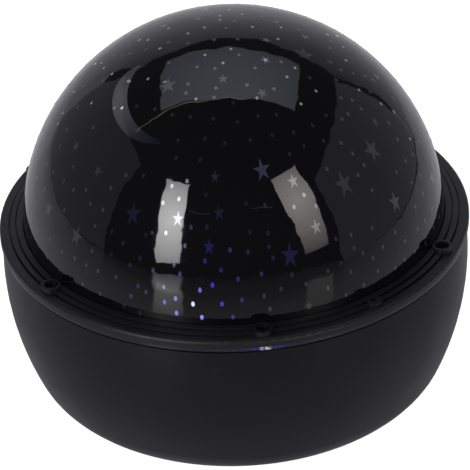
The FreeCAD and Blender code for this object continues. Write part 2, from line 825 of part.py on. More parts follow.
def battery_box():
    x = box_side_x
    shell = block(-x, x, cavity_y0 - box_wall, cavity_y1 + box_wall, floor_z, cavity_top + box_wall)
    shell = shell.cut(block(-cavity_half_w, cavity_half_w, cavity_y0, cavity_y1, floor_z, cavity_top))
    parts = [shell]
    for i in range(cell_count - 1):
        middle = (cell_columns()[i][0] + cell_columns()[i + 1][0]) / 2.0
        parts.append(block(middle - divider_t / 2, middle + divider_t / 2, cavity_y0, cavity_y1,
                           cavity_top - divider_h, cavity_top))
    ear_z = floor_z + box_ear_z
    holes = []
    for side in (-1, 1):
        at = side * box_ear_x
        wall = side * (cavity_half_w + box_wall / 2)
        parts.append(cyl(box_ear_r, box_ear_t, at, cavity_mid_y, ear_z))
        parts.append(block(min(wall, at), max(wall, at), cavity_mid_y - box_ear_r, cavity_mid_y + box_ear_r,
                           ear_z, ear_z + box_ear_t))
        holes.append(hole(small_screw, box_ear_t, at, cavity_mid_y, ear_z))
        window_half = tab_w / 2 + tab_window_room
        holes.append(block(side * tab_x - window_half, side * tab_x + window_half,
                           cavity_y0 - box_wall - over, cavity_y0, floor_z, floor_z + tab_window_h))
    return cut(fuse(parts), holes)


def battery_box_screws():
    on_ear = floor_z + box_ear_z + box_ear_t
    return [screw(small_screw, box_screw_len, side * box_ear_x, cavity_mid_y, on_ear) for side in (-1, 1)]


def battery_cells():
    made = []
    for x, way in cell_columns():
        nub_face = cavity_end(way) - way * (plate_t + nub_gap)
        shoulder = nub_face - way * nub_h
        along = V(0, way, 0)
        can = cyl(cell_r, cell_len, x, shoulder - way * cell_len, cell_z, along)
        rims = [e for e in can.Edges if e.Length > 6 * cell_r and e.BoundBox.YLength < cell_fillet]
        can = can.makeFillet(cell_fillet, rims)
        nub = cyl(nub_r, nub_h + cell_fillet, x, shoulder - way * cell_fillet, cell_z, along)
        made.append(fuse([can, nub]))
    return made


def contact_plates():
    half = cell_r - plate_inset
    made = []
    for x, nub_way in cell_columns():
        for way in (-1, 1):
            face = cavity_end(way)
            back = face - way * plate_t
            made.append(block(x - half, x + half, min(face, back), max(face, back),
                              cell_z - half + plate_low_cut, cell_z + half))
    return made


def contact_springs():
    made = []
    length = spring_room - 2 * (spring_wire_r + spring_play)
    steps = spring_turns * spring_steps
    for x, way in cell_columns():
        start = cavity_end(-way) + way * (plate_t + spring_wire_r + spring_play)
        points = []
        for i in range(steps + 1):
            across, up = polar(spring_r, 360.0 * i / spring_steps)
            points.append((x + across, start + way * length * i / steps, cell_z + up))
        made.append(wire_tube(points, spring_wire_r))
    return made


def door_tabs():
    """Two tabs that reach over the bowl's floor at the hinge edge, and the webs that carry them."""
    top = bottom_z + door_t
    y0 = cavity_y0 + hinge_gap
    low = floor_z + tab_lift
    shapes = []
    for side in (-1, 1):
        x0 = side * tab_x - tab_w / 2
        x1 = side * tab_x + tab_w / 2
        shapes.append(block(x0, x1, cavity_y0 - tab_reach, y0 + tab_root, low, low + tab_t))
        shapes.append(block(x0, x1, y0 + tab_web_in, y0 + tab_root, top - tab_web_sunk, low + tab_t))
    return shapes


def battery_door():
    x = cavity_half_w - door_gap
    y0 = cavity_y0 + hinge_gap
    y1 = cavity_y1 - door_gap
    top = bottom_z + door_t
    section = [V(-x, y0, top), V(-x, y1, top), V(-x, y1, bottom_z), V(-x, y0 + door_chamfer, bottom_z)]
    section.append(section[0])
    plate = Part.Face(Part.makePolygon(section)).extrude(V(2 * x, 0, 0))
    lug = cyl(lug_r, door_t, 0, lug_y, bottom_z)
    neck = block(-lug_r, lug_r, y1 - over, lug_y, bottom_z, top)
    holes = [cyl(door_screw_size[2] + thread_clearance, door_t, 0, lug_y, bottom_z),
             cyl(door_screw_size[0] + head_clearance, door_screw_size[1] + head_clearance / 2 + over,
                 0, lug_y, bottom_z - over)]
    for i in range(grip_count):
        y = y1 - grip_in - grip_pitch * i
        holes.append(block(-grip_l / 2, grip_l / 2, y - grip_w / 2, y + grip_w / 2,
                           bottom_z - over, bottom_z + grip_depth))
    return cut(fuse([plate, lug, neck] + door_tabs()), holes)


def door_screw():
    under_head = bottom_z + door_screw_size[1] + head_clearance / 2
    return screw(door_screw_size, door_screw_len, 0, lug_y, under_head, V(0, 0, -1))


# ---------------------------------------------------------------- switch
def switch_body():
    half = switch_body_w / 2
    up = switch_body_h / 2
    body = block(-half, half, switch_end, switch_y, switch_z - up, switch_z + up)
    ear = block(-half - switch_ear_w, half + switch_ear_w, switch_y - switch_ear_t, switch_y,
                switch_z - up, switch_z + up)
    slot_half = knob_w / 2 + knob_travel + knob_clearance
    slot_up = knob_h / 2 + knob_clearance
    holes = [block(-slot_half, slot_half, switch_y - knob_root - knob_clearance, switch_y + over,
                   switch_z - slot_up, switch_z + slot_up)]
    for side in (-1, 1):
        holes.append(hole(small_screw, switch_ear_t, side * switch_screw_x, switch_y - switch_ear_t,
                          switch_z, V(0, 1, 0)))
    return cut(fuse([body, ear]), holes)


def switch_screws():
    return [screw(small_screw, switch_ear_t + switch_screw_grip, side * switch_screw_x,
                  switch_y - switch_ear_t, switch_z, V(0, -1, 0)) for side in (-1, 1)]


def switch_knob():
    low = switch_z - knob_h / 2
    high = switch_z + knob_h / 2
    knob = block(-knob_w / 2, knob_w / 2, switch_y - knob_root, knob_front_y, low, high)
    first = -(knob_groove_count - 1) / 2.0 * knob_groove_pitch
    grooves = []
    for i in range(knob_groove_count):
        x = first + i * knob_groove_pitch
        grooves.append(block(x - knob_groove_w / 2, x + knob_groove_w / 2, knob_front_y - knob_groove_depth,
                             knob_front_y + over, low, high))
    return cut(knob, grooves)


# ---------------------------------------------------------------- dome and turntable
def bezel_screw_places():
    step = 360.0 / bezel_screw_count
    return [polar(screw_pitch_r, bezel_screw_angle + i * step) for i in range(bezel_screw_count)]


def index_places():
    return [polar(screw_pitch_r, index_angle), polar(screw_pitch_r, index_angle + 180.0)]


def star_dome():
    r_in = dome_r - dome_wall
    h = math.sqrt(0.5)
    edges = path_run([(r_in, dome_z), (r_in, flange_z), (flange_r, flange_z), (flange_r, bezel_z),
                      (dome_r, bezel_z), (dome_r, dome_z)])
    edges.append(arc((dome_r, dome_z), (dome_r * h, dome_z + dome_r * h), (0, dome_z + dome_r)))
    edges.append(line((0, dome_z + dome_r), (0, dome_z + r_in)))
    edges.append(arc((0, dome_z + r_in), (r_in * h, dome_z + r_in * h), (r_in, dome_z)))
    holes = []
    for x, y in bezel_screw_places():
        holes.append(cyl(bezel_screw[2] + hole_clearance, flange_t, x, y, flange_z))
    for x, y in index_places():
        holes.append(cyl(index_hole_r, flange_t, x, y, flange_z))
    return cut(revolve(edges), holes)


def bezel_outline():
    outer = bezel_z + shoulder_h
    middle = outer + land_step
    inner = middle + land_step
    half = groove_w / 2
    shadow_r = bezel_r - shadow_line_depth
    points = [(bezel_bore_r, bezel_z), (shadow_r, bezel_z), (shadow_r, bezel_z + shadow_line),
              (bezel_r, bezel_z + shadow_line), (bezel_r, outer)]
    for groove_r, before, after in ((groove_r_outer, outer, middle), (groove_r_inner, middle, inner)):
        points += [(groove_r + half, before), (groove_r + half, before - groove_depth),
                   (groove_r - half, before - groove_depth), (groove_r - half, after)]
    points.append((bezel_bore_r, inner))
    return points


def bezel_ring():
    outline = bezel_outline()
    ring = revolve(path_run(outline + outline[:1]))
    outer = bezel_z + shoulder_h
    rim = [e for e in ring.Edges if abs(e.BoundBox.ZMin - outer) < 0.001
           and e.BoundBox.ZLength < 0.001 and abs(e.BoundBox.XMax - bezel_r) < 0.001]
    ring = ring.makeFillet(shoulder_fillet, rim)
    bosses = [cyl(boss_r, boss_h, x, y, bezel_z) for x, y in bezel_screw_places()]
    bosses += [cyl(index_boss_r, boss_h - index_boss_drop, x, y, bezel_z) for x, y in index_places()]
    bore = cyl(bezel_bore_r, boss_h + 2 * over, z=bezel_z - over)
    ring = fuse([ring] + [boss.cut(bore) for boss in bosses])
    holes = []
    for x, y in bezel_screw_places():
        holes.append(cyl(recess_r, boss_h, x, y, bezel_z + recess_floor))
        holes.append(cyl(bezel_screw[2] + hole_clearance, boss_h, x, y, bezel_z))
    for x, y in index_places():
        holes.append(cyl(index_hole_r, boss_h, x, y, bezel_z))
    return cut(ring, holes)


def bezel_screws():
    return [screw(bezel_screw, recess_floor + flange_t + bezel_screw_grip, x, y, bezel_z + recess_floor)
            for x, y in bezel_screw_places()]


def locating_pins():
    """Pins in the index holes: they line the dome and the bezel up with the turntable."""
    low = flange_z - pin_sunk
    return [cyl(index_hole_r - pin_fit, bezel_z + index_depth - low, x, y, low) for x, y in index_places()]


def turntable_ring():
    low = race_top + glide_gap
    outer = skirt_inner_r + skirt_t
    blank = cyl((skirt_inner_r + outer) / 2, gear_face, z=gear_z)
    outline = gear_outline(ring_teeth, ring_pitch_r + dedendum * module,
                           ring_pitch_r - ring_addendum * module, -backlash, pinion_angle)
    teeth = blank.cut(gear_solid(outline, gear_z - over, gear_face + 2 * over))
    parts = [tube(turntable_r, ring_pitch_r + gear_rim * module, turntable_top_t, turntable_under),
             tube(outer, skirt_inner_r, turntable_under - low, low), teeth]
    boss_z = race_top + turn_boss_gap
    for x, y in bezel_screw_places():
        parts.append(cyl(turn_boss_r, turntable_under - boss_z, x, y, boss_z))
    holes = []
    screw_depth = bezel_screw_grip + tip_room
    for x, y in bezel_screw_places():
        holes.append(hole(bezel_screw, screw_depth, x, y, flange_z - screw_depth))
    for x, y in index_places():
        holes.append(cyl(index_hole_r, pin_sunk, x, y, flange_z - pin_sunk))
    return cut(fuse(parts), holes)


# ---------------------------------------------------------------- wires
def edge_points(side):
    """The stretch round the deck's edge, from the low end up to the switch."""
    points = []
    for out, angle, drop in edge_route:
        x, y = polar(deck_r + out, angle)
        points.append((side * x, y, deck_z - drop))
    return points + [(side * tag_x, tag_bend_y, tag_z), (side * tag_x, switch_end, tag_z)]


def battery_leads():
    x, y = battery_wire_at
    to_board = [(box_side_x, y, wire_low_z), (x, y, wire_low_z), (x, y, wire_high_z),
                (battery_pad_x, solder_row_y, wire_high_z), (battery_pad_x, solder_row_y, board_top)]
    to_switch = [(box_side_x, box_exit_y, box_exit_z), (x, box_exit_y, box_exit_z)] + edge_points(1)
    return [wire_tube(to_board, wire_r), wire_tube(to_switch, wire_r)]


def switch_lead():
    x, y = switch_wire_at
    points = [(x, y, wire_low_z), (x, y, wire_high_z), (motor_wire_at[0], switch_wire_bend_y, wire_high_z),
              (switch_pad_x, solder_row_y, wire_high_z), (switch_pad_x, solder_row_y, board_top)]
    return wire_tube(edge_points(-1)[::-1] + points, wire_r)


def motor_leads():
    x, y = motor_wire_at
    made = []
    for apart in (-wire_pair_half, wire_pair_half):
        high = wire_high_z + apart
        low = wire_low_z + apart
        points = [(motor_pad_x + apart, solder_row_y, board_top), (motor_pad_x + apart, solder_row_y, high),
                  (x + apart, motor_wire_bend_y, high), (x + apart, y, high), (x + apart, y, low),
                  (motor_bend_x, motor_y, low), (-motor_flat, motor_y, low)]
        made.append(wire_tube(points, wire_r))
    return made


def led_leads():
    pad_y = led_board_y - led_board_w / 2 + led_pad_in
    made = []
    for x in (led_pad_x, led_pad_x + 2 * wire_pair_half):
        points = [(x, solder_row_y, board_top), (x, solder_row_y, wire_high_z),
                  (x, pad_y, wire_high_z), (x, pad_y, board_top)]
        made.append(wire_tube(points, wire_r))
    return made


# ---------------------------------------------------------------- the nodes
NODES = (bowl_shell, rubber_feet, race_ring, race_screws, deck, deck_screws, led_board, leds,
         control_board, control_parts, board_screws, gearbox_case, gearbox_screws, motor_can,
         output_shaft, drive_pinion, battery_box, battery_box_screws, battery_cells, contact_plates,
         contact_springs, battery_door, door_screw, switch_body, switch_screws, switch_knob,
         star_dome, bezel_ring, bezel_screws, locating_pins, turntable_ring,
         battery_leads, switch_lead, motor_leads, led_leads)


def main():
    os.makedirs("parts", exist_ok=True)
    for node in NODES:
        save(node.__name__, node())


main()
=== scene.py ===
import json
import math
import random

import bpy
from mathutils import Matrix, Vector


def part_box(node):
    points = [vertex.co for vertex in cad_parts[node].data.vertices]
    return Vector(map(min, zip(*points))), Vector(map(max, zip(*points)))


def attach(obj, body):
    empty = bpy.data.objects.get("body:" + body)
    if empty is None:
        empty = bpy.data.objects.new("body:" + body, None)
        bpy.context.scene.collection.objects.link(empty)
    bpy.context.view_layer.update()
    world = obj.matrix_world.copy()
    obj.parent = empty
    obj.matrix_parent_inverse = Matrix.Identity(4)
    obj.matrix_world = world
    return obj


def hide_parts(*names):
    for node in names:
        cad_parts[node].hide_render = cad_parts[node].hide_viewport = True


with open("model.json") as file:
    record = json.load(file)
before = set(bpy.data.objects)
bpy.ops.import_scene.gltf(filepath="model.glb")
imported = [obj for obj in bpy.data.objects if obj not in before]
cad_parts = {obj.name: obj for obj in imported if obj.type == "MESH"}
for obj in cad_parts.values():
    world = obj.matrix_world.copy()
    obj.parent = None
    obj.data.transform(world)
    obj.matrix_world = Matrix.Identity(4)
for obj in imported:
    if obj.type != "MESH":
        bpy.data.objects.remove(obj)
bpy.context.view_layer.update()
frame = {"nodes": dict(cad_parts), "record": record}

# Star projector: a glossy printed dome on a matt black bowl.
# Metres, +Z up, the front is towards -Y. Angles are in degrees.

MM = 0.001
nodes = frame["nodes"]

# ---------------------------------------------------------------- the camera
PICTURE = 470                      # the camera's picture, in pixels across and down
CAMERA_AIM = Vector((0.0, 0.0, 0.05595))
CAMERA_ELEVATION = 31.73
CAMERA_DISTANCE = 0.932
CAMERA_ROLL = 2.64                 # the object's right side is a little higher
FOCAL_PIXELS = 2992.0
AIM_PIXEL = (234.16, 216.11)       # where the aimed point lies in the picture
SENSOR = 36.0                      # its width, in millimetres
CLIP_NEAR = 0.05
CLIP_FAR = 20.0

# ---------------------------------------------------------------- the dome
DOME_LOW, DOME_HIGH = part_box("star_dome")
DOME_WALL = 1.6 * MM
PRINT_PROUD = 0.03 * MM            # windows in the print stand this much off the dome
PRINT_SUNK = 0.12 * MM             # and reach this far into it
GLINT_PROUD = 0.06 * MM            # the dots with painted glints lie over the rest of the print
PRINTED_R = 65.6 * MM              # over the highest of the print
DOME_R = PRINTED_R - GLINT_PROUD   # the dome's own surface
FLANGE_T = 1.0 * MM
FLANGE_R = DOME_HIGH.x
DOME_FOOT = DOME_LOW.z
DOME_CENTRE = Vector((0.0, 0.0, DOME_HIGH.z - PRINTED_R))
DOME_SEGMENTS = 180
DOME_RINGS = 90
HAIR = 0.01 * MM                   # room for rounding where faces are picked by their place
FOOT_SKIN = 0.2 * MM               # the foot's outer faces lie within this of the dome's surface

# ---------------------------------------------------------------- the print
LIGHT = "light"                    # attribute: how much of the light each printed mark lets through, or how strong its painted glint is

# All places are in the camera's picture, in pixels from its top left corner.
# Stars: x, y, radius of the arms' circle, turn of the first arm, light.
STARS = (
    (168, 86, 9.4, 55, 0.35), (223, 79, 5.8, 92, 1.0), (265.5, 60, 5.4, 80, 3.4), (262, 93, 5.8, 100, 0.3),
    (304, 54, 10.5, 95, 0.1), (266, 40, 4.6, 70, 2.8), (305, 37, 5.2, 100, 1.8), (377, 77, 4.6, 120, 2.6),
    (375, 122, 5.0, 85, 0.7), (372, 150, 11.5, 95, 0.5), (344, 184, 11.8, 92, 0.12), (262, 170, 9.6, 95, 2.4),
    (293, 181, 6.4, 93, 0.3), (395, 202, 9.4, 80, 2.0), (316, 227, 6.6, 94, 0.3), (290, 255.5, 10.6, 84, 1.9),
    (309, 306, 4.6, 90, 0.15), (49, 209, 8.6, 98, 0.4), (76.5, 236, 9.6, 82, 0.3), (133, 214, 10.0, 100, 0.9),
    (178, 219, 6.6, 92, 0.5), (219, 213, 6.6, 94, 0.7), (209, 247, 6.8, 90, 1.3), (76, 146, 5.0, 60, 1.6),
    (98, 171, 6.2, 75, 0.1), (215, 177, 5.4, 90, 1.6), (164, 26, 4.8, 60, 2.2), (276, 22, 4.6, 90, 1.6),
    (330, 62, 4.6, 70, 0.5), (198, 19, 4.8, 60, 2.0), (205, 9.5, 7.6, 90, 2.0), (432, 178, 9.0, 92, 1.4),
    (37, 178, 5.0, 80, 1.5), (373, 80, 3.6, 70, 2.0),
)
# Small printed dots with a painted glint: x, y.
GLINT_DOTS = (
    (231, 49), (205, 55), (223, 63), (278, 39), (295, 68), (287, 77), (316, 91), (301, 104), (128, 81),
    (165, 82), (257, 98), (281, 27.5), (252.5, 27), (346, 60.5), (343, 47),
    (381, 104), (220, 16), (220, 20), (229.5, 10), (242, 14.5), (104, 68), (101.5, 63), (91.5, 103),
    (112, 74), (168.5, 28.5), (188, 33.5), (204.5, 27.5), (139.5, 40), (148, 40), (160, 48.5), (359, 90),
    (394, 112), (410, 139), (58, 124), (63, 113), (74, 92),
)
# Printed dots with a painted glint of their own strength: x, y, light.
GLINTS = (
    (122, 108, 12.0), (114.5, 108, 1.0), (265.5, 60, 3.0), (129.5, 81.5, 2.0), (148, 79, 0.6),
    (196, 99, 1.5), (337, 36, 4.0), (95, 64, 3.5), (327.5, 34.5, 2.0),
)
# Plain dots: x, y.
PLAIN_DOTS = (
    (169, 63), (197, 67), (215, 68.5), (188, 84), (186, 93), (216, 88), (247, 85), (274, 89), (255, 68),
    (281, 62), (239, 55), (341, 98), (352, 100), (348, 114), (342, 119), (361, 109),
    (341, 143), (304, 146), (364, 165), (358, 175), (327, 169), (172, 186), (179, 199), (163, 203),
    (166, 233), (294, 207), (304, 195), (316, 206), (92, 251), (98, 271), (116, 277), (123, 243),
    (103, 210), (111, 188), (86, 190), (328, 271), (306, 284), (328, 288), (346, 295), (341, 263),
    (336, 239), (351, 235), (372, 228), (395, 232), (354, 248), (363, 253), (373, 258), (383, 247),
    (405, 241), (395, 268), (378, 271), (351, 272), (364, 285), (206, 195), (174, 265), (146, 235),
    (152, 233), (185, 246), (126, 175), (214, 97.5), (188, 14.5), (255, 10), (261, 16.5),
    (226, 28), (168.5, 42.5), (188, 43), (146, 49.5), (130.5, 53.5), (122, 55.5), (114, 55.5), (103, 81),
    (83.5, 86.5), (331, 41.5), (309, 55), (341, 70), (353, 73), (299, 30), (289, 20), (370, 92), (365, 76),
)
# Dots with the lamp behind them: x, y, light.
LIT_DOTS = (
    (193, 304, 1.0), (202, 317.5, 1.2), (212.5, 285, 1.8), (200, 290, 1.1), (176.5, 313, 1.4),
    (175.5, 298.5, 0.9), (164.5, 302, 1.3), (222, 304, 1.5), (233, 317, 1.2), (238, 279, 1.4),
    (221, 270, 1.2), (230, 250, 2.0), (248, 252, 1.0), (205, 261, 1.4), (242, 300, 1.2), (264, 296, 1.0),
    (261.5, 274, 1.7), (270, 309, 1.0), (281, 289, 0.8), (292, 275, 1.2), (138, 286, 0.7), (146, 292, 0.9),
    (131, 296, 0.9), (130, 265, 0.5), (140, 258, 0.4), (124, 306, 0.5), (140, 313, 0.3), (180, 274, 0.7),
    (153, 270, 0.7), (268, 233, 1.0), (273, 258, 0.9), (269, 247, 0.6), (191, 227, 1.3), (207, 227, 0.4),
    (250, 232, 0.4),
)
MOON_OUTER = ((141, 65), (112.5, 108), (160, 143))   # three places on each edge of the crescent
MOON_INNER = ((141, 66), (127.5, 104), (158, 139))
MOON_GLOW_PIXEL = (120, 98)        # the crescent's painted glow is brightest here
MOON_GLOW_REACH = 30.0 * MM
MOON_ROOM = 1.5 * MM               # the rows of dots keep this much farther from the crescent's edge
GLOW_PIXEL = (193, 306)            # lamp light comes through the print round this place
GLOW_REACH = 120.0 * MM
SEAM_GLOW = (0.0076, -0.0722, 0.0549)   # painted light, as of the lamp leaking through the clear flange round this place, with a painted white glint at its middle
SEAM_REACH = 50.0 * MM
LAMP_PLACE = (-0.013, -0.008, 0.033)    # the brightest of the lamps
LAMP_REACH = 30.0 * MM
DOT_R = 0.56 * MM
DOT_SIDES = 12
GLINT_DOT_R = 0.46 * MM
LIT_DOT_R = 0.62 * MM
STAR_ARMS = 5
STAR_WAIST = 0.37                  # radius between the arms, as a share of the arms' circle
TIP_ROUND = 0.035                  # bevel of the tips, as a share of it too
STRETCH = 0.30                     # marks at the dome's foot are taller by this share, narrower by half of it
UPRIGHT = 90.0                     # turn of a mark whose first arm points up the dome
PLAIN_LIGHT = 0.6
GLINT_LIGHT = 1.0
PIXEL_MM = FOCAL_PIXELS / (CAMERA_DISTANCE * 1000.0)   # pixels to the millimetre

# ---------------------------------------------------------------- small helpers
SHARP_ANGLE = 30.0


def deselect():
    if bpy.context.object and bpy.context.object.mode != "OBJECT":
        bpy.ops.object.mode_set(mode="OBJECT")
    bpy.ops.object.select_all(action="DESELECT")


def take(obj):
    """Makes obj the only selected and active object."""
    deselect()
    obj.select_set(True)
    bpy.context.view_layer.objects.active = obj


def named(name):
    obj = bpy.context.object
    obj.name = name
    obj.data.name = name
    return obj


def pick_faces(obj, wanted):
    """Selects the faces whose middle and normal pass the test, and goes into edit mode."""
    bpy.ops.object.mode_set(mode="OBJECT")
    mesh = obj.data
    for vert in mesh.vertices:
        vert.select = False
    for edge in mesh.edges:
        edge.select = False
    for face in mesh.polygons:
        face.select = wanted(obj.matrix_world @ face.center, face.normal)
    bpy.ops.object.mode_set(mode="EDIT")
    bpy.ops.mesh.select_mode(type="FACE")


def pick_verts(obj, wanted):
    """Selects the vertices whose place passes the test, and goes into edit mode."""
    bpy.ops.object.mode_set(mode="OBJECT")
    mesh = obj.data
    for face in mesh.polygons:
        face.select = False
    for edge in mesh.edges:
        edge.select = False
    for vert in mesh.vertices:
        vert.select = wanted(obj.matrix_world @ vert.co)
    bpy.ops.object.mode_set(mode="EDIT")
    bpy.ops.mesh.select_mode(type="VERT")


def settle(obj):
    """Puts the object's place into its mesh and shades it, with its sharp edges kept."""
    take(obj)
    bpy.ops.object.transform_apply(location=True, rotation=True, scale=True)
    bpy.ops.object.shade_smooth_by_angle(angle=math.radians(SHARP_ANGLE))


def face_outwards(obj):
    take(obj)
    bpy.ops.object.mode_set(mode="EDIT")
    bpy.ops.mesh.select_all(action="SELECT")
    bpy.ops.mesh.normals_make_consistent(inside=False)
    bpy.ops.object.mode_set(mode="OBJECT")


def join(copies, name):
    deselect()
    for obj in copies:
        obj.select_set(True)
    bpy.context.view_layer.objects.active = copies[0]
    bpy.ops.object.join()
    return named(name)


def finish_piece(obj, material, body):
    obj.data.materials.clear()
    obj.data.materials.append(material)
    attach(obj, body)


def add_node(tree, kind, values=None, **settings):
    """A shader node of this kind, with its settings by name and its values by input."""
    node = tree.nodes.new("ShaderNode" + kind)
    for name, setting in settings.items():
        setattr(node, name, setting)
    for socket, value in (values or {}).items():
        node.inputs[socket].default_value = value
    return node


def wire(tree, *wires):
    """Links nodes: each wire is a node and its output, then a node and its input."""
    for start, output, end, socket in wires:
        tree.links.new(start.outputs[output], end.inputs[socket])


# ---------------------------------------------------------------- camera and picture


def camera_axes():
    """The camera's place and its right, up and forward directions."""
    tilt = math.radians(CAMERA_ELEVATION)
    roll = math.radians(CAMERA_ROLL)
    ahead = Vector((0.0, math.cos(tilt), -math.sin(tilt)))
    level = Vector((1.0, 0.0, 0.0))
    rise = level.cross(ahead)
    eye = CAMERA_AIM - ahead * CAMERA_DISTANCE
    right = level * math.cos(roll) - rise * math.sin(roll)
    up = rise * math.cos(roll) + level * math.sin(roll)
    middle = PICTURE / 2
    ahead = (ahead * FOCAL_PIXELS + right * (middle - AIM_PIXEL[0])
             - up * (middle - AIM_PIXEL[1])).normalized()
    right = (right - ahead * right.dot(ahead)).normalized()
    return eye, right, right.cross(ahead), ahead


EYE, RIGHT, UP, AHEAD = camera_axes()


def on_dome(x, y):
    """The point of the dome that shows at a place in the picture."""
    middle = PICTURE / 2
    ray = (AHEAD * FOCAL_PIXELS + RIGHT * (x - middle) + UP * (middle - y)).normalized()
    out = EYE - DOME_CENTRE
    middle_depth = -out.dot(ray)
    half_chord = math.sqrt(middle_depth * middle_depth - out.length_squared + DOME_R * DOME_R)
    return EYE + ray * (middle_depth - half_chord)


def make_camera():
    data = bpy.data.cameras.new("camera")
    data.sensor_width = SENSOR
    data.lens = FOCAL_PIXELS * SENSOR / PICTURE
    data.clip_start = CLIP_NEAR
    data.clip_end = CLIP_FAR
    obj = bpy.data.objects.new("camera", data)
    bpy.context.scene.collection.objects.link(obj)
    turned = Matrix((RIGHT, UP, -AHEAD)).transposed().to_4x4()
    obj.matrix_world = Matrix.Translation(EYE) @ turned
    bpy.context.scene.camera = obj


# ---------------------------------------------------------------- studio
SOFTBOX_RISE = 1.0
CAMERA_WHITE = 1.0                 # what the camera sees past the floor
ROOM = (0.053, 0.053, 0.060)       # what the object sees past the panels


def panel(name, place, look_at, width, height, radiance, colour, turn=0.0, spread=180.0):
    """A soft rectangular light that faces look_at, turned about its own axis.

    radiance is what it shows straight on; a spread under 180 makes it dimmer towards its ends.
    """
    data = bpy.data.lights.new(name, "AREA")
    data.shape = "RECTANGLE"
    data.size = width
    data.size_y = height
    data.energy = radiance * width * height * math.pi
    if spread < 180.0:
        half = math.radians(spread) / 2
        data.spread = 2 * half
        data.energy *= (math.tan(half) - half) / math.tan(half)
    data.color = colour
    obj = bpy.data.objects.new(name, data)
    bpy.context.scene.collection.objects.link(obj)
    facing = (Vector(look_at) - Vector(place)).to_track_quat("-Z", "Y").to_matrix().to_4x4()
    spin = Matrix.Rotation(math.radians(turn), 4, "Z")
    obj.matrix_world = Matrix.Translation(Vector(place)) @ facing @ spin


def towards(azimuth, elevation, distance):
    """A place seen from the dome's middle; azimuth 0 is the front, and it grows towards +X."""
    a = math.radians(azimuth)
    e = math.radians(elevation)
    level = math.cos(e)
    return DOME_CENTRE + distance * Vector((level * math.sin(a), -level * math.cos(a), math.sin(e)))


def make_lights():
    """Panels above, beside and behind, two bright strips in front, and thin warm edges between them."""
    c = DOME_CENTRE
    cool = (0.95, 0.93, 1.0)
    faint = (0.93, 0.92, 1.0)
    panel("top_softbox", c + Vector((0.03, 0.475, SOFTBOX_RISE)), c + Vector((0.03, 0.475, 0.0)),
          width=1.17, height=0.78, radiance=1.24, colour=(0.83, 0.90, 1.06), turn=-4, spread=118)
    panel("warm_edge", c + Vector((-0.365, 0.092, SOFTBOX_RISE)), c + Vector((-0.365, 0.092, 0.0)),
          width=1.25, height=0.008, radiance=2.4, colour=(1.0, 0.86, 0.5), turn=-1.4)
    panel("left_wall", c + Vector((-1.0, 0.43, 0.42)), c + Vector((0.0, 0.43, 0.42)),
          width=1.54, height=0.964, radiance=0.19, colour=cool)
    panel("right_wall", c + Vector((1.0, 0.09, 0.389)), c + Vector((0.0, 0.09, 0.389)),
          width=1.56, height=1.022, radiance=0.24, colour=cool)
    panel("back_wall", c + Vector((0.26, 1.6, 0.51)), c + Vector((0.26, 0.0, 0.51)),
          width=2.76, height=1.72, radiance=0.54, colour=(0.91, 0.90, 1.0), spread=118)
    panel("left_strip", towards(azimuth=-37, elevation=24.5, distance=1.15), c,
          width=0.285, height=0.86, radiance=12.0, colour=(1.0, 1.0, 1.0), turn=7.5, spread=68)
    panel("right_strip", towards(azimuth=41, elevation=25, distance=1.15), c + Vector((0.0, 0.0, -0.15)),
          width=0.315, height=0.88, radiance=4.6, colour=(1.0, 0.96, 0.94), turn=2.8, spread=66)
    panel("left_fill", towards(azimuth=-142.6, elevation=7.5, distance=1.77), c,
          width=0.140, height=0.72, radiance=0.36, colour=faint)
    panel("right_fill", towards(azimuth=132.6, elevation=0.0, distance=1.6), c,
          width=0.069, height=0.30, radiance=0.34, colour=faint)
    for azimuth, elevation in ((-20.3, 32.0), (17.0, 33.0)):
        panel("warm_rail", towards(azimuth, elevation, distance=1.15), c,
              width=0.22, height=0.006, radiance=0.7, colour=(1.0, 0.85, 0.5))


def make_world():
    """Pale to the camera; faint light, as of a room, to the object."""
    world = bpy.data.worlds.new("studio")
    bpy.context.scene.world = world
    world.use_nodes = True
    tree = world.node_tree
    tree.nodes.clear()
    path = add_node(tree, "LightPath")
    room = add_node(tree, "Background", {"Color": (*ROOM, 1.0)})
    shown = add_node(tree, "Background", {"Color": (1.0, 1.0, 1.0, 1.0), "Strength": CAMERA_WHITE})
    mix = add_node(tree, "MixShader")
    out = add_node(tree, "OutputWorld")
    wire(tree,
         (path, "Is Camera Ray", mix, "Fac"),
         (room, "Background", mix, 1),
         (shown, "Background", mix, 2),
         (mix, "Shader", out, "Surface"))


# ---------------------------------------------------------------- floor
FLOOR_MIDDLE = (-0.17, -0.2, -0.0002)
FLOOR_SIZE = (1.42, 2.6, 1.0)
BACK_CORNER_OUT = 0.07             # its left corners are moved, so that the dome mirrors its edge aslant
FRONT_CORNER_IN = 0.06
FLOOR_WHITE = 0.93                 # its own light, as the camera sees it
FLOOR_TINT = (0.94, 0.93, 1.0)     # and as the object mirrors it: the colour,
FLOOR_DIM = 0.21                   # the strength in front,
FLOOR_BRIGHT = 0.62                # the strength behind,
FADE_START = -0.35                 # and where on Y it goes from one to the other
FADE_END = 0.15
SHEEN_FROM = (-0.03, -0.055, 0.0)  # the left strip's sheen on the floor is a wedge from under the dome
SHEEN_HEADING = -124.9
SHEEN_SPREAD = 0.140               # half its width, as a share of its distance
SHEEN_BLUR = 0.1
SHEEN_START = 0.27                 # it comes up between these distances
SHEEN_FULL = 0.42
SHEEN_LIGHT = 3.1


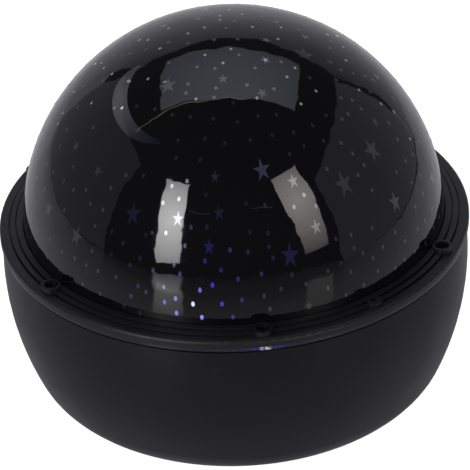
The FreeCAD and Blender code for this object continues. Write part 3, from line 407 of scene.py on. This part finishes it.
def sheen_mask(tree, coords):
    """The left strip's sheen on the floor, as a mask: a wedge that widens away from the object."""
    turned = add_node(tree, "Mapping", {"Location": SHEEN_FROM,
                                        "Rotation": (0.0, 0.0, math.radians(SHEEN_HEADING))},
                      vector_type="TEXTURE")
    split = add_node(tree, "SeparateXYZ")
    ratio = add_node(tree, "Math", operation="DIVIDE")
    size = add_node(tree, "Math", operation="ABSOLUTE")
    edge = add_node(tree, "MapRange", {"From Min": SHEEN_SPREAD * (1 + SHEEN_BLUR),
                                       "From Max": SHEEN_SPREAD * (1 - SHEEN_BLUR)})
    ahead = add_node(tree, "MapRange", {"From Min": SHEEN_START, "From Max": SHEEN_FULL})
    both = add_node(tree, "Math", operation="MULTIPLY")
    wire(tree,
         (coords, "Object", turned, "Vector"),
         (turned, "Vector", split, "Vector"),
         (split, "Y", ratio, 0),
         (split, "X", ratio, 1),
         (ratio, "Value", size, 0),
         (size, "Value", edge, "Value"),
         (split, "X", ahead, "Value"),
         (edge, "Result", both, 0),
         (ahead, "Result", both, 1))
    return both


def mirrored_floor(tree):
    """What the object mirrors: dim light in front, more behind, the strip's sheen, and some gloss."""
    coords = add_node(tree, "TexCoord")
    split = add_node(tree, "SeparateXYZ")
    fade = add_node(tree, "MapRange", {"From Min": FADE_START, "From Max": FADE_END,
                                       "To Min": FLOOR_DIM, "To Max": FLOOR_BRIGHT})
    strength = add_node(tree, "Math", {1: SHEEN_LIGHT}, operation="MULTIPLY_ADD")
    light = add_node(tree, "Emission", {"Color": (*FLOOR_TINT, 1.0)})
    gloss = add_node(tree, "BsdfGlossy", {"Roughness": 0.10})
    fresnel = add_node(tree, "Fresnel", {"IOR": 1.28})
    shiny = add_node(tree, "MixShader")
    wire(tree,
         (coords, "Object", split, "Vector"),
         (split, "Y", fade, "Value"),
         (sheen_mask(tree, coords), "Value", strength, 0),
         (fade, "Result", strength, 2),
         (strength, "Value", light, "Strength"),
         (fresnel, "Fac", shiny, "Fac"),
         (light, "Emission", shiny, 1),
         (gloss, "BSDF", shiny, 2))
    return shiny


def floor_material():
    """Pale to the camera, with soft shade; other light for what mirrors it; nothing from below."""
    mat = bpy.data.materials.new("pale_floor")
    mat.use_nodes = True
    tree = mat.node_tree
    tree.nodes.clear()
    shade = add_node(tree, "BsdfDiffuse", {"Color": (0.8, 0.8, 0.8, 1.0)})
    white = add_node(tree, "Emission", {"Strength": FLOOR_WHITE})
    pale = add_node(tree, "AddShader")
    path = add_node(tree, "LightPath")
    seen = add_node(tree, "MixShader")
    side = add_node(tree, "NewGeometry")
    clear = add_node(tree, "BsdfTransparent")
    from_below = add_node(tree, "MixShader")
    out = add_node(tree, "OutputMaterial")
    wire(tree,
         (shade, "BSDF", pale, 0),
         (white, "Emission", pale, 1),
         (path, "Is Camera Ray", seen, "Fac"),
         (mirrored_floor(tree), "Shader", seen, 1),
         (pale, "Shader", seen, 2),
         (side, "Backfacing", from_below, "Fac"),
         (seen, "Shader", from_below, 1),
         (clear, "BSDF", from_below, 2),
         (from_below, "Shader", out, "Surface"))
    return mat


def make_floor():
    deselect()
    bpy.ops.mesh.primitive_plane_add(size=1.0, location=FLOOR_MIDDLE)
    bpy.ops.transform.resize(value=FLOOR_SIZE)
    bpy.ops.object.transform_apply(location=True, rotation=True, scale=True)
    floor = named("floor")
    pick_verts(floor, lambda place: place.x < 0 < place.y)
    bpy.ops.transform.translate(value=(-BACK_CORNER_OUT, 0.0, 0.0))
    pick_verts(floor, lambda place: place.x < 0 and place.y < 0)
    bpy.ops.transform.translate(value=(FRONT_CORNER_IN, 0.0, 0.0))
    bpy.ops.object.mode_set(mode="OBJECT")
    floor.data.materials.append(floor_material())


# ---------------------------------------------------------------- shared node groups


def new_group(name, takes, gives):
    """A node group with its input and output nodes; a socket is a name, a kind and maybe a value."""
    group = bpy.data.node_groups.new(name, "ShaderNodeTree")
    for way, sockets in (("INPUT", takes), ("OUTPUT", gives)):
        for label, kind, *value in sockets:
            socket = group.interface.new_socket(name=label, in_out=way, socket_type="NodeSocket" + kind)
            if value:
                socket.default_value = value[0]
    return group, group.nodes.new("NodeGroupInput"), group.nodes.new("NodeGroupOutput")


def grain_group():
    """Moulded plastic, rubber or metal: colour drift, uneven gloss and a fine surface grain."""
    group, given, result = new_group(
        "surface_grain",
        takes=(("Vector", "Vector"), ("Dark", "Color"), ("Light", "Color"), ("Patch Scale", "Float", 40.0),
               ("Grain Scale", "Float", 2500.0), ("Rough Low", "Float", 0.4), ("Rough High", "Float", 0.6)),
        gives=(("Color", "Color"), ("Roughness", "Float"), ("Height", "Float")))
    patches = add_node(group, "TexNoise", {"Detail": 4.0})
    grain = add_node(group, "TexNoise", {"Detail": 3.0, "Roughness": 0.6})
    tone = add_node(group, "Mix", data_type="RGBA")
    gloss = add_node(group, "MapRange", {"From Min": 0.3, "From Max": 0.7})
    wire(group,
         (given, "Vector", patches, "Vector"),
         (given, "Vector", grain, "Vector"),
         (given, "Patch Scale", patches, "Scale"),
         (given, "Grain Scale", grain, "Scale"),
         (patches, "Fac", tone, "Factor"),
         (given, "Dark", tone, "A"),
         (given, "Light", tone, "B"),
         (patches, "Fac", gloss, "Value"),
         (given, "Rough Low", gloss, "To Min"),
         (given, "Rough High", gloss, "To Max"),
         (tone, "Result", result, "Color"),
         (gloss, "Result", result, "Roughness"),
         (grain, "Fac", result, "Height"))
    return group


def scuff_group():
    """Fine rubbed lines and specks, as a mask."""
    group, given, result = new_group(
        "rubbed_marks",
        takes=(("Vector", "Vector"), ("Scale", "Float", 120.0)),
        gives=(("Mask", "Float"),))
    stretch = add_node(group, "Mapping", {"Rotation": (0.3, 0.5, 0.9), "Scale": (1.0, 9.0, 3.0)})
    noise = add_node(group, "TexNoise", {"Detail": 6.0})
    cut = add_node(group, "MapRange", {"From Min": 0.64, "From Max": 0.76})
    wire(group,
         (given, "Vector", stretch, "Vector"),
         (stretch, "Vector", noise, "Vector"),
         (given, "Scale", noise, "Scale"),
         (noise, "Fac", cut, "Value"),
         (cut, "Result", result, "Mask"))
    return group


def distance_group():
    """How far a point is from a place, as a share of a reach."""
    group, given, result = new_group(
        "share_of_reach",
        takes=(("Vector", "Vector"), ("Middle", "Vector"), ("Reach", "Float", 0.05)),
        gives=(("Share", "Float"),))
    apart = add_node(group, "VectorMath", operation="DISTANCE")
    share = add_node(group, "Math", operation="DIVIDE")
    wire(group,
         (given, "Vector", apart, 0),
         (given, "Middle", apart, 1),
         (apart, "Value", share, 0),
         (given, "Reach", share, 1),
         (share, "Value", result, "Share"))
    return group


def waves_group():
    """Long shallow waves in a formed sheet, as a height."""
    group, given, result = new_group(
        "sheet_waves",
        takes=(("Vector", "Vector"), ("Scale", "Float", 70.0)),
        gives=(("Height", "Float"),))
    waves = add_node(group, "TexNoise", {"Detail": 2.5, "Roughness": 0.45})
    wire(group,
         (given, "Vector", waves, "Vector"),
         (given, "Scale", waves, "Scale"),
         (waves, "Fac", result, "Height"))
    return group


GRAIN = grain_group()
SCUFFS = scuff_group()
DISTANCE = distance_group()
WAVES = waves_group()

# ---------------------------------------------------------------- light through the print
# Colours by the distance from a middle, as a share of the reach: share, colour.
LAMP_STOPS = ((0.0, (0.72, 0.90, 1.0)), (0.019, (0.45, 0.55, 1.0)), (0.041, (0.13, 0.11, 0.63)),
              (0.071, (0.026, 0.011, 0.26)), (0.112, (0.010, 0.005, 0.080)), (0.17, (0.008, 0.006, 0.042)),
              (0.25, (0.003, 0.003, 0.012)), (0.50, (0.006, 0.006, 0.007)), (0.70, (0.026, 0.026, 0.028)),
              (1.0, (0.045, 0.045, 0.048)))
STAR_STOPS = ((0.0, (0.007, 0.003, 0.09)), (0.15, (0.003, 0.002, 0.042)), (0.28, (0.0015, 0.0015, 0.011)),
              (0.38, (0.009, 0.0085, 0.016)), (0.50, (0.006, 0.006, 0.009)), (0.75, (0.015, 0.015, 0.017)),
              (1.0, (0.035, 0.035, 0.037)))
# Painted glints of the glint dots, stronger away from the lamp's place.
GLINT_STOPS = ((0.0, (0.02, 0.02, 0.022)), (0.5, (0.03, 0.03, 0.033)), (1.0, (0.10, 0.10, 0.105)))
# The crescent's painted glow, brightest round its middle and fading away from it.
MOON_STOPS = ((0.0, (0.058, 0.058, 0.063)), (0.25, (0.038, 0.038, 0.043)), (0.55, (0.010, 0.010, 0.014)),
              (0.80, (0.0, 0.0, 0.004)), (1.0, (0.0, 0.0, 0.003)))
# The seam's painted light: a white glint, then a blue glow that fades out.
SEAM_STOPS = ((0.0, (0.70, 0.72, 0.78)), (0.028, (0.55, 0.56, 0.63)), (0.040, (0.02, 0.015, 0.20)),
              (0.10, (0.005, 0.003, 0.07)), (0.20, (0.001, 0.001, 0.020)), (0.5, (0.0, 0.0, 0.0)))
LAMP_IN_LENS = ((0.0, (0.85, 0.92, 1.0)), (0.5, (0.25, 0.28, 0.9)), (1.0, (0.03, 0.03, 0.10)))

# ---------------------------------------------------------------- materials
DOME_WAVES = {"scale": 70.0, "depth": 0.22}
JACKET_BAND_START = 9.8 * MM       # where the copper-coloured band of the cells' jackets begins, on Y
JACKET_BAND_FULL = 10.2 * MM


class Finish:
    """A Principled material with its grain: patches from dark to light, rough from low to high.

    patch and grain are the scales of its patches and its grain, and bump is the grain's depth in
    millimetres.
    """

    def __init__(self, name, dark, light, rough, patch=40.0, grain=2500.0, bump=0.02, metallic=0.0, ior=1.5):
        self.material = bpy.data.materials.new(name)
        self.material.use_nodes = True
        self.tree = self.material.node_tree
        self.tree.nodes.clear()
        self.shader = self.add("BsdfPrincipled", {"Metallic": metallic, "IOR": ior})
        out = self.add("OutputMaterial")
        self.coords = self.add("TexCoord")
        self.grain = self.group(GRAIN, {"Dark": (*dark, 1.0), "Light": (*light, 1.0), "Patch Scale": patch,
                                        "Grain Scale": grain, "Rough Low": rough[0], "Rough High": rough[1]})
        self.bump = self.add("Bump", {"Distance": bump * MM})
        self.wire((self.shader, "BSDF", out, "Surface"),
                  (self.grain, "Color", self.shader, "Base Color"),
                  (self.grain, "Roughness", self.shader, "Roughness"),
                  (self.grain, "Height", self.bump, "Height"),
                  (self.bump, "Normal", self.shader, "Normal"))

    def add(self, kind, values=None, **settings):
        return add_node(self.tree, kind, values, **settings)

    def wire(self, *wires):
        wire(self.tree, *wires)

    def group(self, which, values):
        """A shared group in the piece's own coordinates."""
        node = self.add("Group", values, node_tree=which)
        self.wire((self.coords, "Object", node, "Vector"))
        return node

    def cover(self, mask, output, colour):
        """Lays another colour over the base, by a mask that a node puts out."""
        over = self.add("Mix", {"B": (*colour, 1.0)}, data_type="RGBA")
        self.wire((mask, output, over, "Factor"),
                  (self.grain, "Color", over, "A"),
                  (over, "Result", self.shader, "Base Color"))

    def scuffs(self, colour, scale=120.0):
        """Rubbed marks of another colour over the base."""
        self.cover(self.group(SCUFFS, {"Scale": scale}), "Mask", colour)
        return self

    def wavy(self, scale, depth):
        """Long shallow waves under the grain, depth millimetres deep."""
        waves = self.group(WAVES, {"Scale": scale})
        under = self.add("Bump", {"Distance": depth * MM})
        self.wire((waves, "Height", under, "Height"),
                  (under, "Normal", self.bump, "Normal"))
        return self

    def glow(self, middle, reach, stops, per_mark=False, broken=None, lamp=True):
        """Emitted light, in colours by the distance from middle: the lamps' own in their lenses, elsewhere
        painted light that shows through and painted glints.

        per_mark scales it mark by mark, and broken is the scale of the gaps in it. The lamp's light
        stays where it is when the dome turns; the rest turns with its piece.
        """
        share = self.group(DISTANCE, {"Middle": middle, "Reach": reach})
        if lamp:
            self.wire((self.add("NewGeometry"), "Position", share, "Vector"))
        ramp = self.add("ValToRGB")
        elements = ramp.color_ramp.elements
        while len(elements) < len(stops):
            elements.new(1.0)
        for element, (place, colour) in zip(elements, stops):
            element.position = place
            element.color = (*colour, 1.0)
        self.wire((share, "Share", ramp, "Fac"))
        shown = (ramp, "Color")
        if per_mark:
            shown = self.scaled(shown, self.add("Attribute", attribute_name=LIGHT), "Fac")
        if broken:
            shown = self.scaled(shown, self.gaps(broken), "Result")
        self.shader.inputs["Emission Strength"].default_value = 1.0
        self.wire((*shown, self.shader, "Emission Color"))
        return self

    def scaled(self, shown, factor, output):
        """The light, which is a node with its output, times the factor that a node puts out."""
        times = self.add("VectorMath", operation="SCALE")
        self.wire((*shown, times, 0),
                  (factor, output, times, "Scale"))
        return times, "Vector"

    def gaps(self, scale):
        """Dark gaps of this scale, as a factor for light."""
        noise = self.add("TexNoise", {"Scale": scale, "Detail": 1.0})
        gap = self.add("MapRange", {"From Min": 0.42, "From Max": 0.56, "To Min": 0.12})
        self.wire((self.coords, "Object", noise, "Vector"),
                  (noise, "Fac", gap, "Value"))
        return gap


def board_finish():
    """Green board with brighter wavy tracks."""
    made = Finish("solder_mask_green", dark=(0.008, 0.085, 0.022), light=(0.015, 0.14, 0.035),
                  rough=(0.28, 0.4), patch=90.0)
    tracks = made.add("TexWave", {"Scale": 110.0, "Distortion": 6.0, "Detail Scale": 0.4},
                      bands_direction="X")
    mask = made.add("MapRange", {"From Min": 0.55, "From Max": 0.62})
    made.wire((made.coords, "Object", tracks, "Vector"),
              (tracks, "Fac", mask, "Value"))
    made.cover(mask, "Result", (0.02, 0.20, 0.05))
    return made


def jacket_finish():
    """A dark sleeve with a copper-coloured band at one end."""
    made = Finish("cell_sleeve", dark=(0.012, 0.013, 0.016), light=(0.022, 0.023, 0.028),
                  rough=(0.25, 0.35), patch=60.0)
    split = made.add("SeparateXYZ")
    band = made.add("MapRange", {"From Min": JACKET_BAND_START, "From Max": JACKET_BAND_FULL})
    made.wire((made.coords, "Object", split, "Vector"),
              (split, "Y", band, "Value"))
    made.cover(band, "Result", (0.42, 0.20, 0.08))
    return made


def outer_finishes():
    """The bowl, the ring, the feet, the switch and the screws."""
    return {
        "black_shell": Finish("moulded_black", dark=(0.0034, 0.0032, 0.0042), light=(0.0052, 0.0050, 0.0064),
                              rough=(0.38, 0.50), patch=30.0, grain=3200.0, bump=0.010, ior=1.36)
        .scuffs((0.010, 0.010, 0.012), 60.0),
        "ring_black": Finish("ring_black", dark=(0.0042, 0.0040, 0.0050), light=(0.0064, 0.0061, 0.0076),
                             rough=(0.40, 0.50), patch=60.0, grain=3200.0, bump=0.008, ior=1.47)
        .scuffs((0.009, 0.009, 0.011), 90.0).wavy(scale=420.0, depth=0.06),
        "foot_rubber": Finish("rubber", dark=(0.010, 0.010, 0.010), light=(0.020, 0.020, 0.019),
                              rough=(0.72, 0.88), patch=160.0, grain=1800.0, bump=0.05)
        .scuffs((0.05, 0.048, 0.045), 200.0),
        "switch_black": Finish("switch_nylon", dark=(0.011, 0.011, 0.012), light=(0.019, 0.019, 0.020),
                               rough=(0.5, 0.62), patch=200.0, bump=0.03)
        .scuffs((0.05, 0.05, 0.05), 400.0),
        "screw_steel": Finish("black_zinc_steel", dark=(0.030, 0.030, 0.033), light=(0.075, 0.074, 0.078),
                              rough=(0.28, 0.42), patch=500.0, metallic=1.0, ior=2.0)
        .scuffs((0.30, 0.29, 0.28), 500.0),
    }


def dome_finishes():
    """The printed dome, its clear flange, and the windows in its print."""
    lamp = on_dome(*GLOW_PIXEL)
    # The crescent's painted glow is brightest round this place.
    pale = on_dome(*MOON_GLOW_PIXEL)
    return {
        "dome_print": Finish("printed_dome", dark=(0.0022, 0.0022, 0.0028), light=(0.0040, 0.0040, 0.0050),
                             rough=(0.015, 0.05), patch=25.0, grain=900.0, bump=0.0002)
        .wavy(**DOME_WAVES),
        # The flange's painted light: a glow as of the lamp, with a painted white glint.
        "clear_flange": Finish("clear_flange", dark=(0.004, 0.004, 0.008), light=(0.008, 0.008, 0.014),
                               rough=(0.08, 0.16), patch=120.0, ior=1.58)
        .glow(SEAM_GLOW, SEAM_REACH, SEAM_STOPS, broken=900.0),
        "star_window": Finish("star_window", dark=(0.003, 0.003, 0.004), light=(0.009, 0.009, 0.012),
                              rough=(0.03, 0.08), patch=120.0, grain=900.0, bump=0.0002, ior=1.84)
        .wavy(**DOME_WAVES).glow(lamp, GLOW_REACH, STAR_STOPS, per_mark=True),
        "dot_window": Finish("dot_window", dark=(0.002, 0.002, 0.003), light=(0.010, 0.010, 0.013),
                             rough=(0.05, 0.16), patch=220.0, grain=900.0, bump=0.0002, ior=1.98)
        .glow(lamp, GLOW_REACH, LAMP_STOPS, per_mark=True),
        # Printed dots with painted glints: a pale base colour and emission stand in for the glints.
        "glint_window": Finish("glint_window", dark=(0.06, 0.06, 0.065), light=(0.34, 0.34, 0.35),
                                rough=(0.10, 0.25), patch=400.0, ior=1.95)
        .glow(lamp, GLOW_REACH, GLINT_STOPS, per_mark=True, lamp=False),
        "moon_window": Finish("moon_window", dark=(0.001, 0.001, 0.003), light=(0.003, 0.003, 0.006),
                              rough=(0.04, 0.10), patch=120.0, grain=900.0, bump=0.0002, ior=1.58)
        .wavy(**DOME_WAVES).glow(pale, MOON_GLOW_REACH, MOON_STOPS, lamp=False),
    }


def inner_finishes():
    """The drive, the boards, the lamps, the cells and the wires."""
    return {
        "inner_white": Finish("white_moulding", dark=(0.62, 0.62, 0.60), light=(0.74, 0.74, 0.72),
                              rough=(0.45, 0.6)).scuffs((0.50, 0.49, 0.46)),
        "gear_plastic": Finish("acetal_white", dark=(0.68, 0.68, 0.64), light=(0.80, 0.80, 0.76),
                               rough=(0.32, 0.42)),
        "gearbox_yellow": Finish("gearbox_moulding", dark=(0.52, 0.31, 0.02), light=(0.66, 0.42, 0.04),
                                 rough=(0.35, 0.5)).scuffs((0.36, 0.20, 0.02)),
        "motor_steel": Finish("rolled_steel", dark=(0.42, 0.42, 0.42), light=(0.58, 0.58, 0.57),
                              rough=(0.22, 0.4), patch=120.0, metallic=1.0).scuffs((0.30, 0.28, 0.26), 260.0),
        "spring_steel": Finish("plated_steel", dark=(0.52, 0.50, 0.46), light=(0.68, 0.66, 0.62),
                               rough=(0.18, 0.32), patch=300.0, metallic=1.0),
        "box_black": Finish("battery_box_black", dark=(0.010, 0.010, 0.011), light=(0.018, 0.018, 0.019),
                            rough=(0.42, 0.6)),
        "cell_jacket": jacket_finish(),
        "board_green": board_finish(),
        "chip_black": Finish("chip_resin", dark=(0.010, 0.010, 0.010), light=(0.016, 0.016, 0.017),
                             rough=(0.5, 0.65)),
        "led_lens": Finish("lamp_lens", dark=(0.55, 0.60, 0.72), light=(0.70, 0.75, 0.85),
                           rough=(0.06, 0.14), patch=200.0).glow(LAMP_PLACE, LAMP_REACH, LAMP_IN_LENS),
        "wire_red": Finish("red_sleeve", dark=(0.34, 0.010, 0.008), light=(0.46, 0.018, 0.012),
                           rough=(0.4, 0.55)),
        "wire_black": Finish("black_sleeve", dark=(0.010, 0.010, 0.010), light=(0.018, 0.018, 0.018),
                             rough=(0.4, 0.55)),
    }


def make_materials():
    """The material of each of the record's slots, the ring and the windows."""
    finishes = {**outer_finishes(), **dome_finishes(), **inner_finishes()}
    return {slot: finish.material for slot, finish in finishes.items()}


# ---------------------------------------------------------------- dome


def make_dome(materials):
    """The dome's wall with its clear flange: a sphere's top, its skirt, a wall thickness and a rim."""
    deselect()
    bpy.ops.mesh.primitive_uv_sphere_add(segments=DOME_SEGMENTS, ring_count=DOME_RINGS, radius=DOME_R,
                                         location=DOME_CENTRE)
    dome = named("dome_shell")
    take(dome)
    bpy.ops.object.transform_apply(location=True, rotation=True, scale=True)
    pick_faces(dome, lambda place, normal: place.z < DOME_CENTRE.z)
    bpy.ops.mesh.delete(type="FACE")
    skirt_top = DOME_CENTRE.z
    for drop in (skirt_top - DOME_FOOT - FLANGE_T, FLANGE_T):
        pick_verts(dome, lambda place: place.z < skirt_top + HAIR)
        bpy.ops.mesh.extrude_region_move(TRANSFORM_OT_translate={"value": (0, 0, -drop)})
        skirt_top -= drop
    bpy.ops.object.mode_set(mode="OBJECT")
    wall = dome.modifiers.new("wall", "SOLIDIFY")
    wall.thickness = DOME_WALL
    wall.offset = -1.0
    take(dome)
    bpy.ops.object.modifier_apply(modifier="wall")
    flange_top = DOME_FOOT + FLANGE_T

    def at_foot(place, normal):
        """The upright outer faces of the foot."""
        out = Vector((place.x, place.y, 0.0))
        return place.z < flange_top and out.length > DOME_R - FOOT_SKIN and abs(normal.z) < 0.5

    pick_faces(dome, at_foot)
    bpy.ops.mesh.extrude_region_move()
    grow = FLANGE_R / DOME_R
    bpy.ops.transform.resize(value=(grow, grow, 1.0), center_override=(0.0, 0.0, DOME_FOOT))
    bpy.ops.object.mode_set(mode="OBJECT")
    face_outwards(dome)
    settle(dome)
    finish_piece(dome, materials["dome_print"], "dome_turntable")
    dome.data.materials.append(materials["clear_flange"])
    for face in dome.data.polygons:
        if face.center.z < flange_top + HAIR:
            face.material_index = 1
    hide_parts("star_dome")


# ---------------------------------------------------------------- print on the dome
NEAR_TOP = 0.05                    # so near the dome's top, +X stands in for the level direction
GRAZING = 0.03                     # a place that the camera sees more aslant than this counts as hidden


def thicken():
    """Gives the flat mesh in edit mode a depth of one unit, downwards."""
    bpy.ops.mesh.select_all(action="SELECT")
    bpy.ops.mesh.extrude_region_move(TRANSFORM_OT_translate={"value": (0, 0, -1.0)})
    bpy.ops.object.mode_set(mode="OBJECT")


def star_master():
    """A flat star with its arms' circle one unit in radius, and with softened tips."""
    deselect()
    bpy.ops.mesh.primitive_circle_add(vertices=2 * STAR_ARMS, radius=1.0, fill_type="NGON")
    star = named("star_master")
    first = math.radians(UPRIGHT)

    def between_arms(place):
        turns = (math.atan2(place.y, place.x) - first) / (math.pi / STAR_ARMS)
        return round(turns) % 2 == 1

    pick_verts(star, between_arms)
    bpy.ops.transform.resize(value=(STAR_WAIST, STAR_WAIST, 1.0), center_override=(0, 0, 0))
    pick_verts(star, lambda place: place.length > (1 + STAR_WAIST) / 2)
    bpy.ops.mesh.bevel(offset=TIP_ROUND, segments=2, affect="VERTICES")
    bpy.ops.mesh.select_all(action="SELECT")
    bpy.ops.mesh.poke()
    bpy.ops.mesh.subdivide(number_cuts=2)
    thicken()
    face_outwards(star)
    return star


def dot_master():
    """A flat round dot, one unit in radius."""
    deselect()
    bpy.ops.mesh.primitive_circle_add(vertices=DOT_SIDES, radius=1.0, fill_type="NGON")
    dot = named("dot_master")
    take(dot)
    bpy.ops.object.mode_set(mode="EDIT")
    bpy.ops.mesh.select_all(action="SELECT")
    bpy.ops.mesh.poke()
    thicken()
    face_outwards(dot)
    return dot


def laid(out, height, proud=PRINT_PROUD):
    """Where a mark's vertex goes, in the direction out: the top stands proud, and what is below is sunk."""
    level = proud if height > -0.5 else -PRINT_SUNK
    return DOME_CENTRE + out * (DOME_R + level)


def lay_on_dome(master, place, size, turn, light, proud=PRINT_PROUD):
    """A copy of a flat master, wrapped on the dome at place."""
    copy = master.copy()
    copy.data = master.data.copy()
    bpy.context.scene.collection.objects.link(copy)
    out = (place - DOME_CENTRE).normalized()
    across = Vector((0, 0, 1)).cross(out)
    if across.length < NEAR_TOP:
        across = Vector((1, 0, 0))
    across.normalize()
    along = out.cross(across)
    angle = math.radians(turn - UPRIGHT)
    level_share = math.hypot(out.x, out.y)
    tall = 1.0 + STRETCH * level_share
    wide = 1.0 - 0.5 * STRETCH * level_share
    marks = copy.data.attributes.new(LIGHT, "FLOAT", "POINT")
    marks.data.foreach_set("value", [light] * len(copy.data.vertices))
    for vert in copy.data.vertices:
        x = vert.co.x * math.cos(angle) - vert.co.y * math.sin(angle)
        y = vert.co.x * math.sin(angle) + vert.co.y * math.cos(angle)
        ray = (out * DOME_R + (across * x * wide + along * y * tall) * size).normalized()
        vert.co = laid(ray, vert.co.z, proud)
    return copy


def behind(place):
    """The same place on the dome's other side."""
    return Vector((-place.x, -place.y, place.z))


def hidden(place):
    """True where the camera at the front doesn't see the dome."""
    return (place - DOME_CENTRE).normalized().dot((EYE - place).normalized()) < GRAZING


def both_sides(pixels):
    """Each place in the picture, and its twin on the far side of the dome."""
    for entry in pixels:
        place = on_dome(entry[0], entry[1])
        yield place, entry
        if hidden(behind(place)):
            yield behind(place), entry


def dot_rows(taken):
    """Rows of dots round the dome, where nothing else is printed."""
    draw = random.Random(7)
    spacing = 6.6 * MM
    clear = 4.0 * MM
    rows = 15
    lowest = 6.0
    row_step = 5.6
    sideways = 0.02                # radians that a dot strays along its row
    upwards = 0.012                # and out of it
    found = []
    for row in range(rows):
        level = math.radians(lowest + row_step * row)
        count = max(1, round(2 * math.pi * DOME_R * math.cos(level) / spacing))
        for index in range(count):
            azimuth = 2 * math.pi * (index + 0.5 * (row % 2)) / count + draw.uniform(-sideways, sideways)
            tilt = level + draw.uniform(-upwards, upwards)
            place = DOME_CENTRE + DOME_R * Vector((math.cos(tilt) * math.cos(azimuth),
                                                   math.cos(tilt) * math.sin(azimuth), math.sin(tilt)))
            if all((place - other).length > clear + room for other, room in taken):
                found.append(place)
    return found


def arc_through(a, b, c, steps):
    """Places along the circle through three points of the picture, from a to c by way of b."""
    a, b, c = Vector(a), Vector(b), Vector(c)
    d = 2 * (a.x * (b.y - c.y) + b.x * (c.y - a.y) + c.x * (a.y - b.y))
    x = (a.length_squared * (b.y - c.y) + b.length_squared * (c.y - a.y) + c.length_squared * (a.y - b.y)) / d
    y = (a.length_squared * (c.x - b.x) + b.length_squared * (a.x - c.x) + c.length_squared * (b.x - a.x)) / d
    middle = Vector((x, y))
    start = math.atan2(a.y - y, a.x - x)
    end = math.atan2(c.y - y, c.x - x)
    via = math.atan2(b.y - y, b.x - x)
    turn = 2 * math.pi
    way = (end - start) % turn
    if (via - start) % turn > way:
        way -= turn
    radius = (a - middle).length
    return [middle + radius * Vector((math.cos(start + way * i / steps), math.sin(start + way * i / steps)))
            for i in range(steps + 1)]


def make_moon(materials):
    """A crescent: a grid laid between its two edges, with the print's thickness."""
    steps = 36
    across = 5
    outer = arc_through(*MOON_OUTER, steps)
    inner = arc_through(*MOON_INNER, steps)
    deselect()
    bpy.ops.mesh.primitive_grid_add(x_subdivisions=steps, y_subdivisions=across, size=2.0)
    moon = named("dome_moon")
    take(moon)
    bpy.ops.object.mode_set(mode="EDIT")
    thicken()
    for vert in moon.data.vertices:
        step = round((vert.co.x + 1) / 2 * steps)
        share = (vert.co.y + 1) / 2
        pixel = inner[step].lerp(outer[step], share)
        vert.co = laid((on_dome(pixel.x, pixel.y) - DOME_CENTRE).normalized(), vert.co.z)
    face_outwards(moon)
    settle(moon)
    finish_piece(moon, materials["moon_window"], "dome_turntable")


def make_print(materials):
    """The printed stars, dots and moon, each kind as one piece on the dome."""
    star = star_master()
    dot = dot_master()
    stars = [(place, size / PIXEL_MM * MM, turn, light)
             for place, (x, y, size, turn, light) in both_sides(STARS)]
    dots = [(place, DOT_R, UPRIGHT, PLAIN_LIGHT) for place, entry in both_sides(PLAIN_DOTS)]
    dots += [(place, LIT_DOT_R, UPRIGHT, light) for place, (x, y, light) in both_sides(LIT_DOTS)]
    # Printed dots with painted glints, laid a little prouder than the rest of the print.
    bright = [(place, GLINT_DOT_R, UPRIGHT, GLINT_LIGHT, GLINT_PROUD)
              for place, entry in both_sides(GLINT_DOTS)]
    bright += [(place, GLINT_DOT_R, UPRIGHT, light, GLINT_PROUD)
               for place, (x, y, light) in both_sides(GLINTS)]
    taken = [mark[:2] for mark in stars + dots + bright]
    taken += [(on_dome(x, y), MOON_ROOM) for x, y in arc_through(*MOON_OUTER, 12)]
    dots += [(place, DOT_R, UPRIGHT, PLAIN_LIGHT) for place in dot_rows(taken)]
    for name, master, marks, window in (("dome_stars", star, stars, "star_window"),
                                        ("dome_dots", dot, dots, "dot_window"),
                                        ("dome_glint_dots", dot, bright, "glint_window")):
        piece = join([lay_on_dome(master, *mark) for mark in marks], name)
        settle(piece)
        finish_piece(piece, materials[window], "dome_turntable")
    make_moon(materials)
    for master in (star, dot):
        bpy.data.objects.remove(master)


# ---------------------------------------------------------------- CAD nodes


def dress_nodes(materials):
    """Each CAD node takes the finish of its slot; the ring is a little glossier than the bowl."""
    slots = {part["node"]: part["material_slot"] for part in frame["record"]["subparts"]}
    slots["bezel_ring"] = "ring_black"
    for name, obj in nodes.items():
        for slot in obj.material_slots:
            slot.material = materials[slots[name]]


def main():
    bpy.context.scene.view_settings.view_transform = "Standard"
    make_camera()
    make_world()
    make_lights()
    make_floor()
    materials = make_materials()
    dress_nodes(materials)
    make_dome(materials)
    make_print(materials)
    deselect()


main()
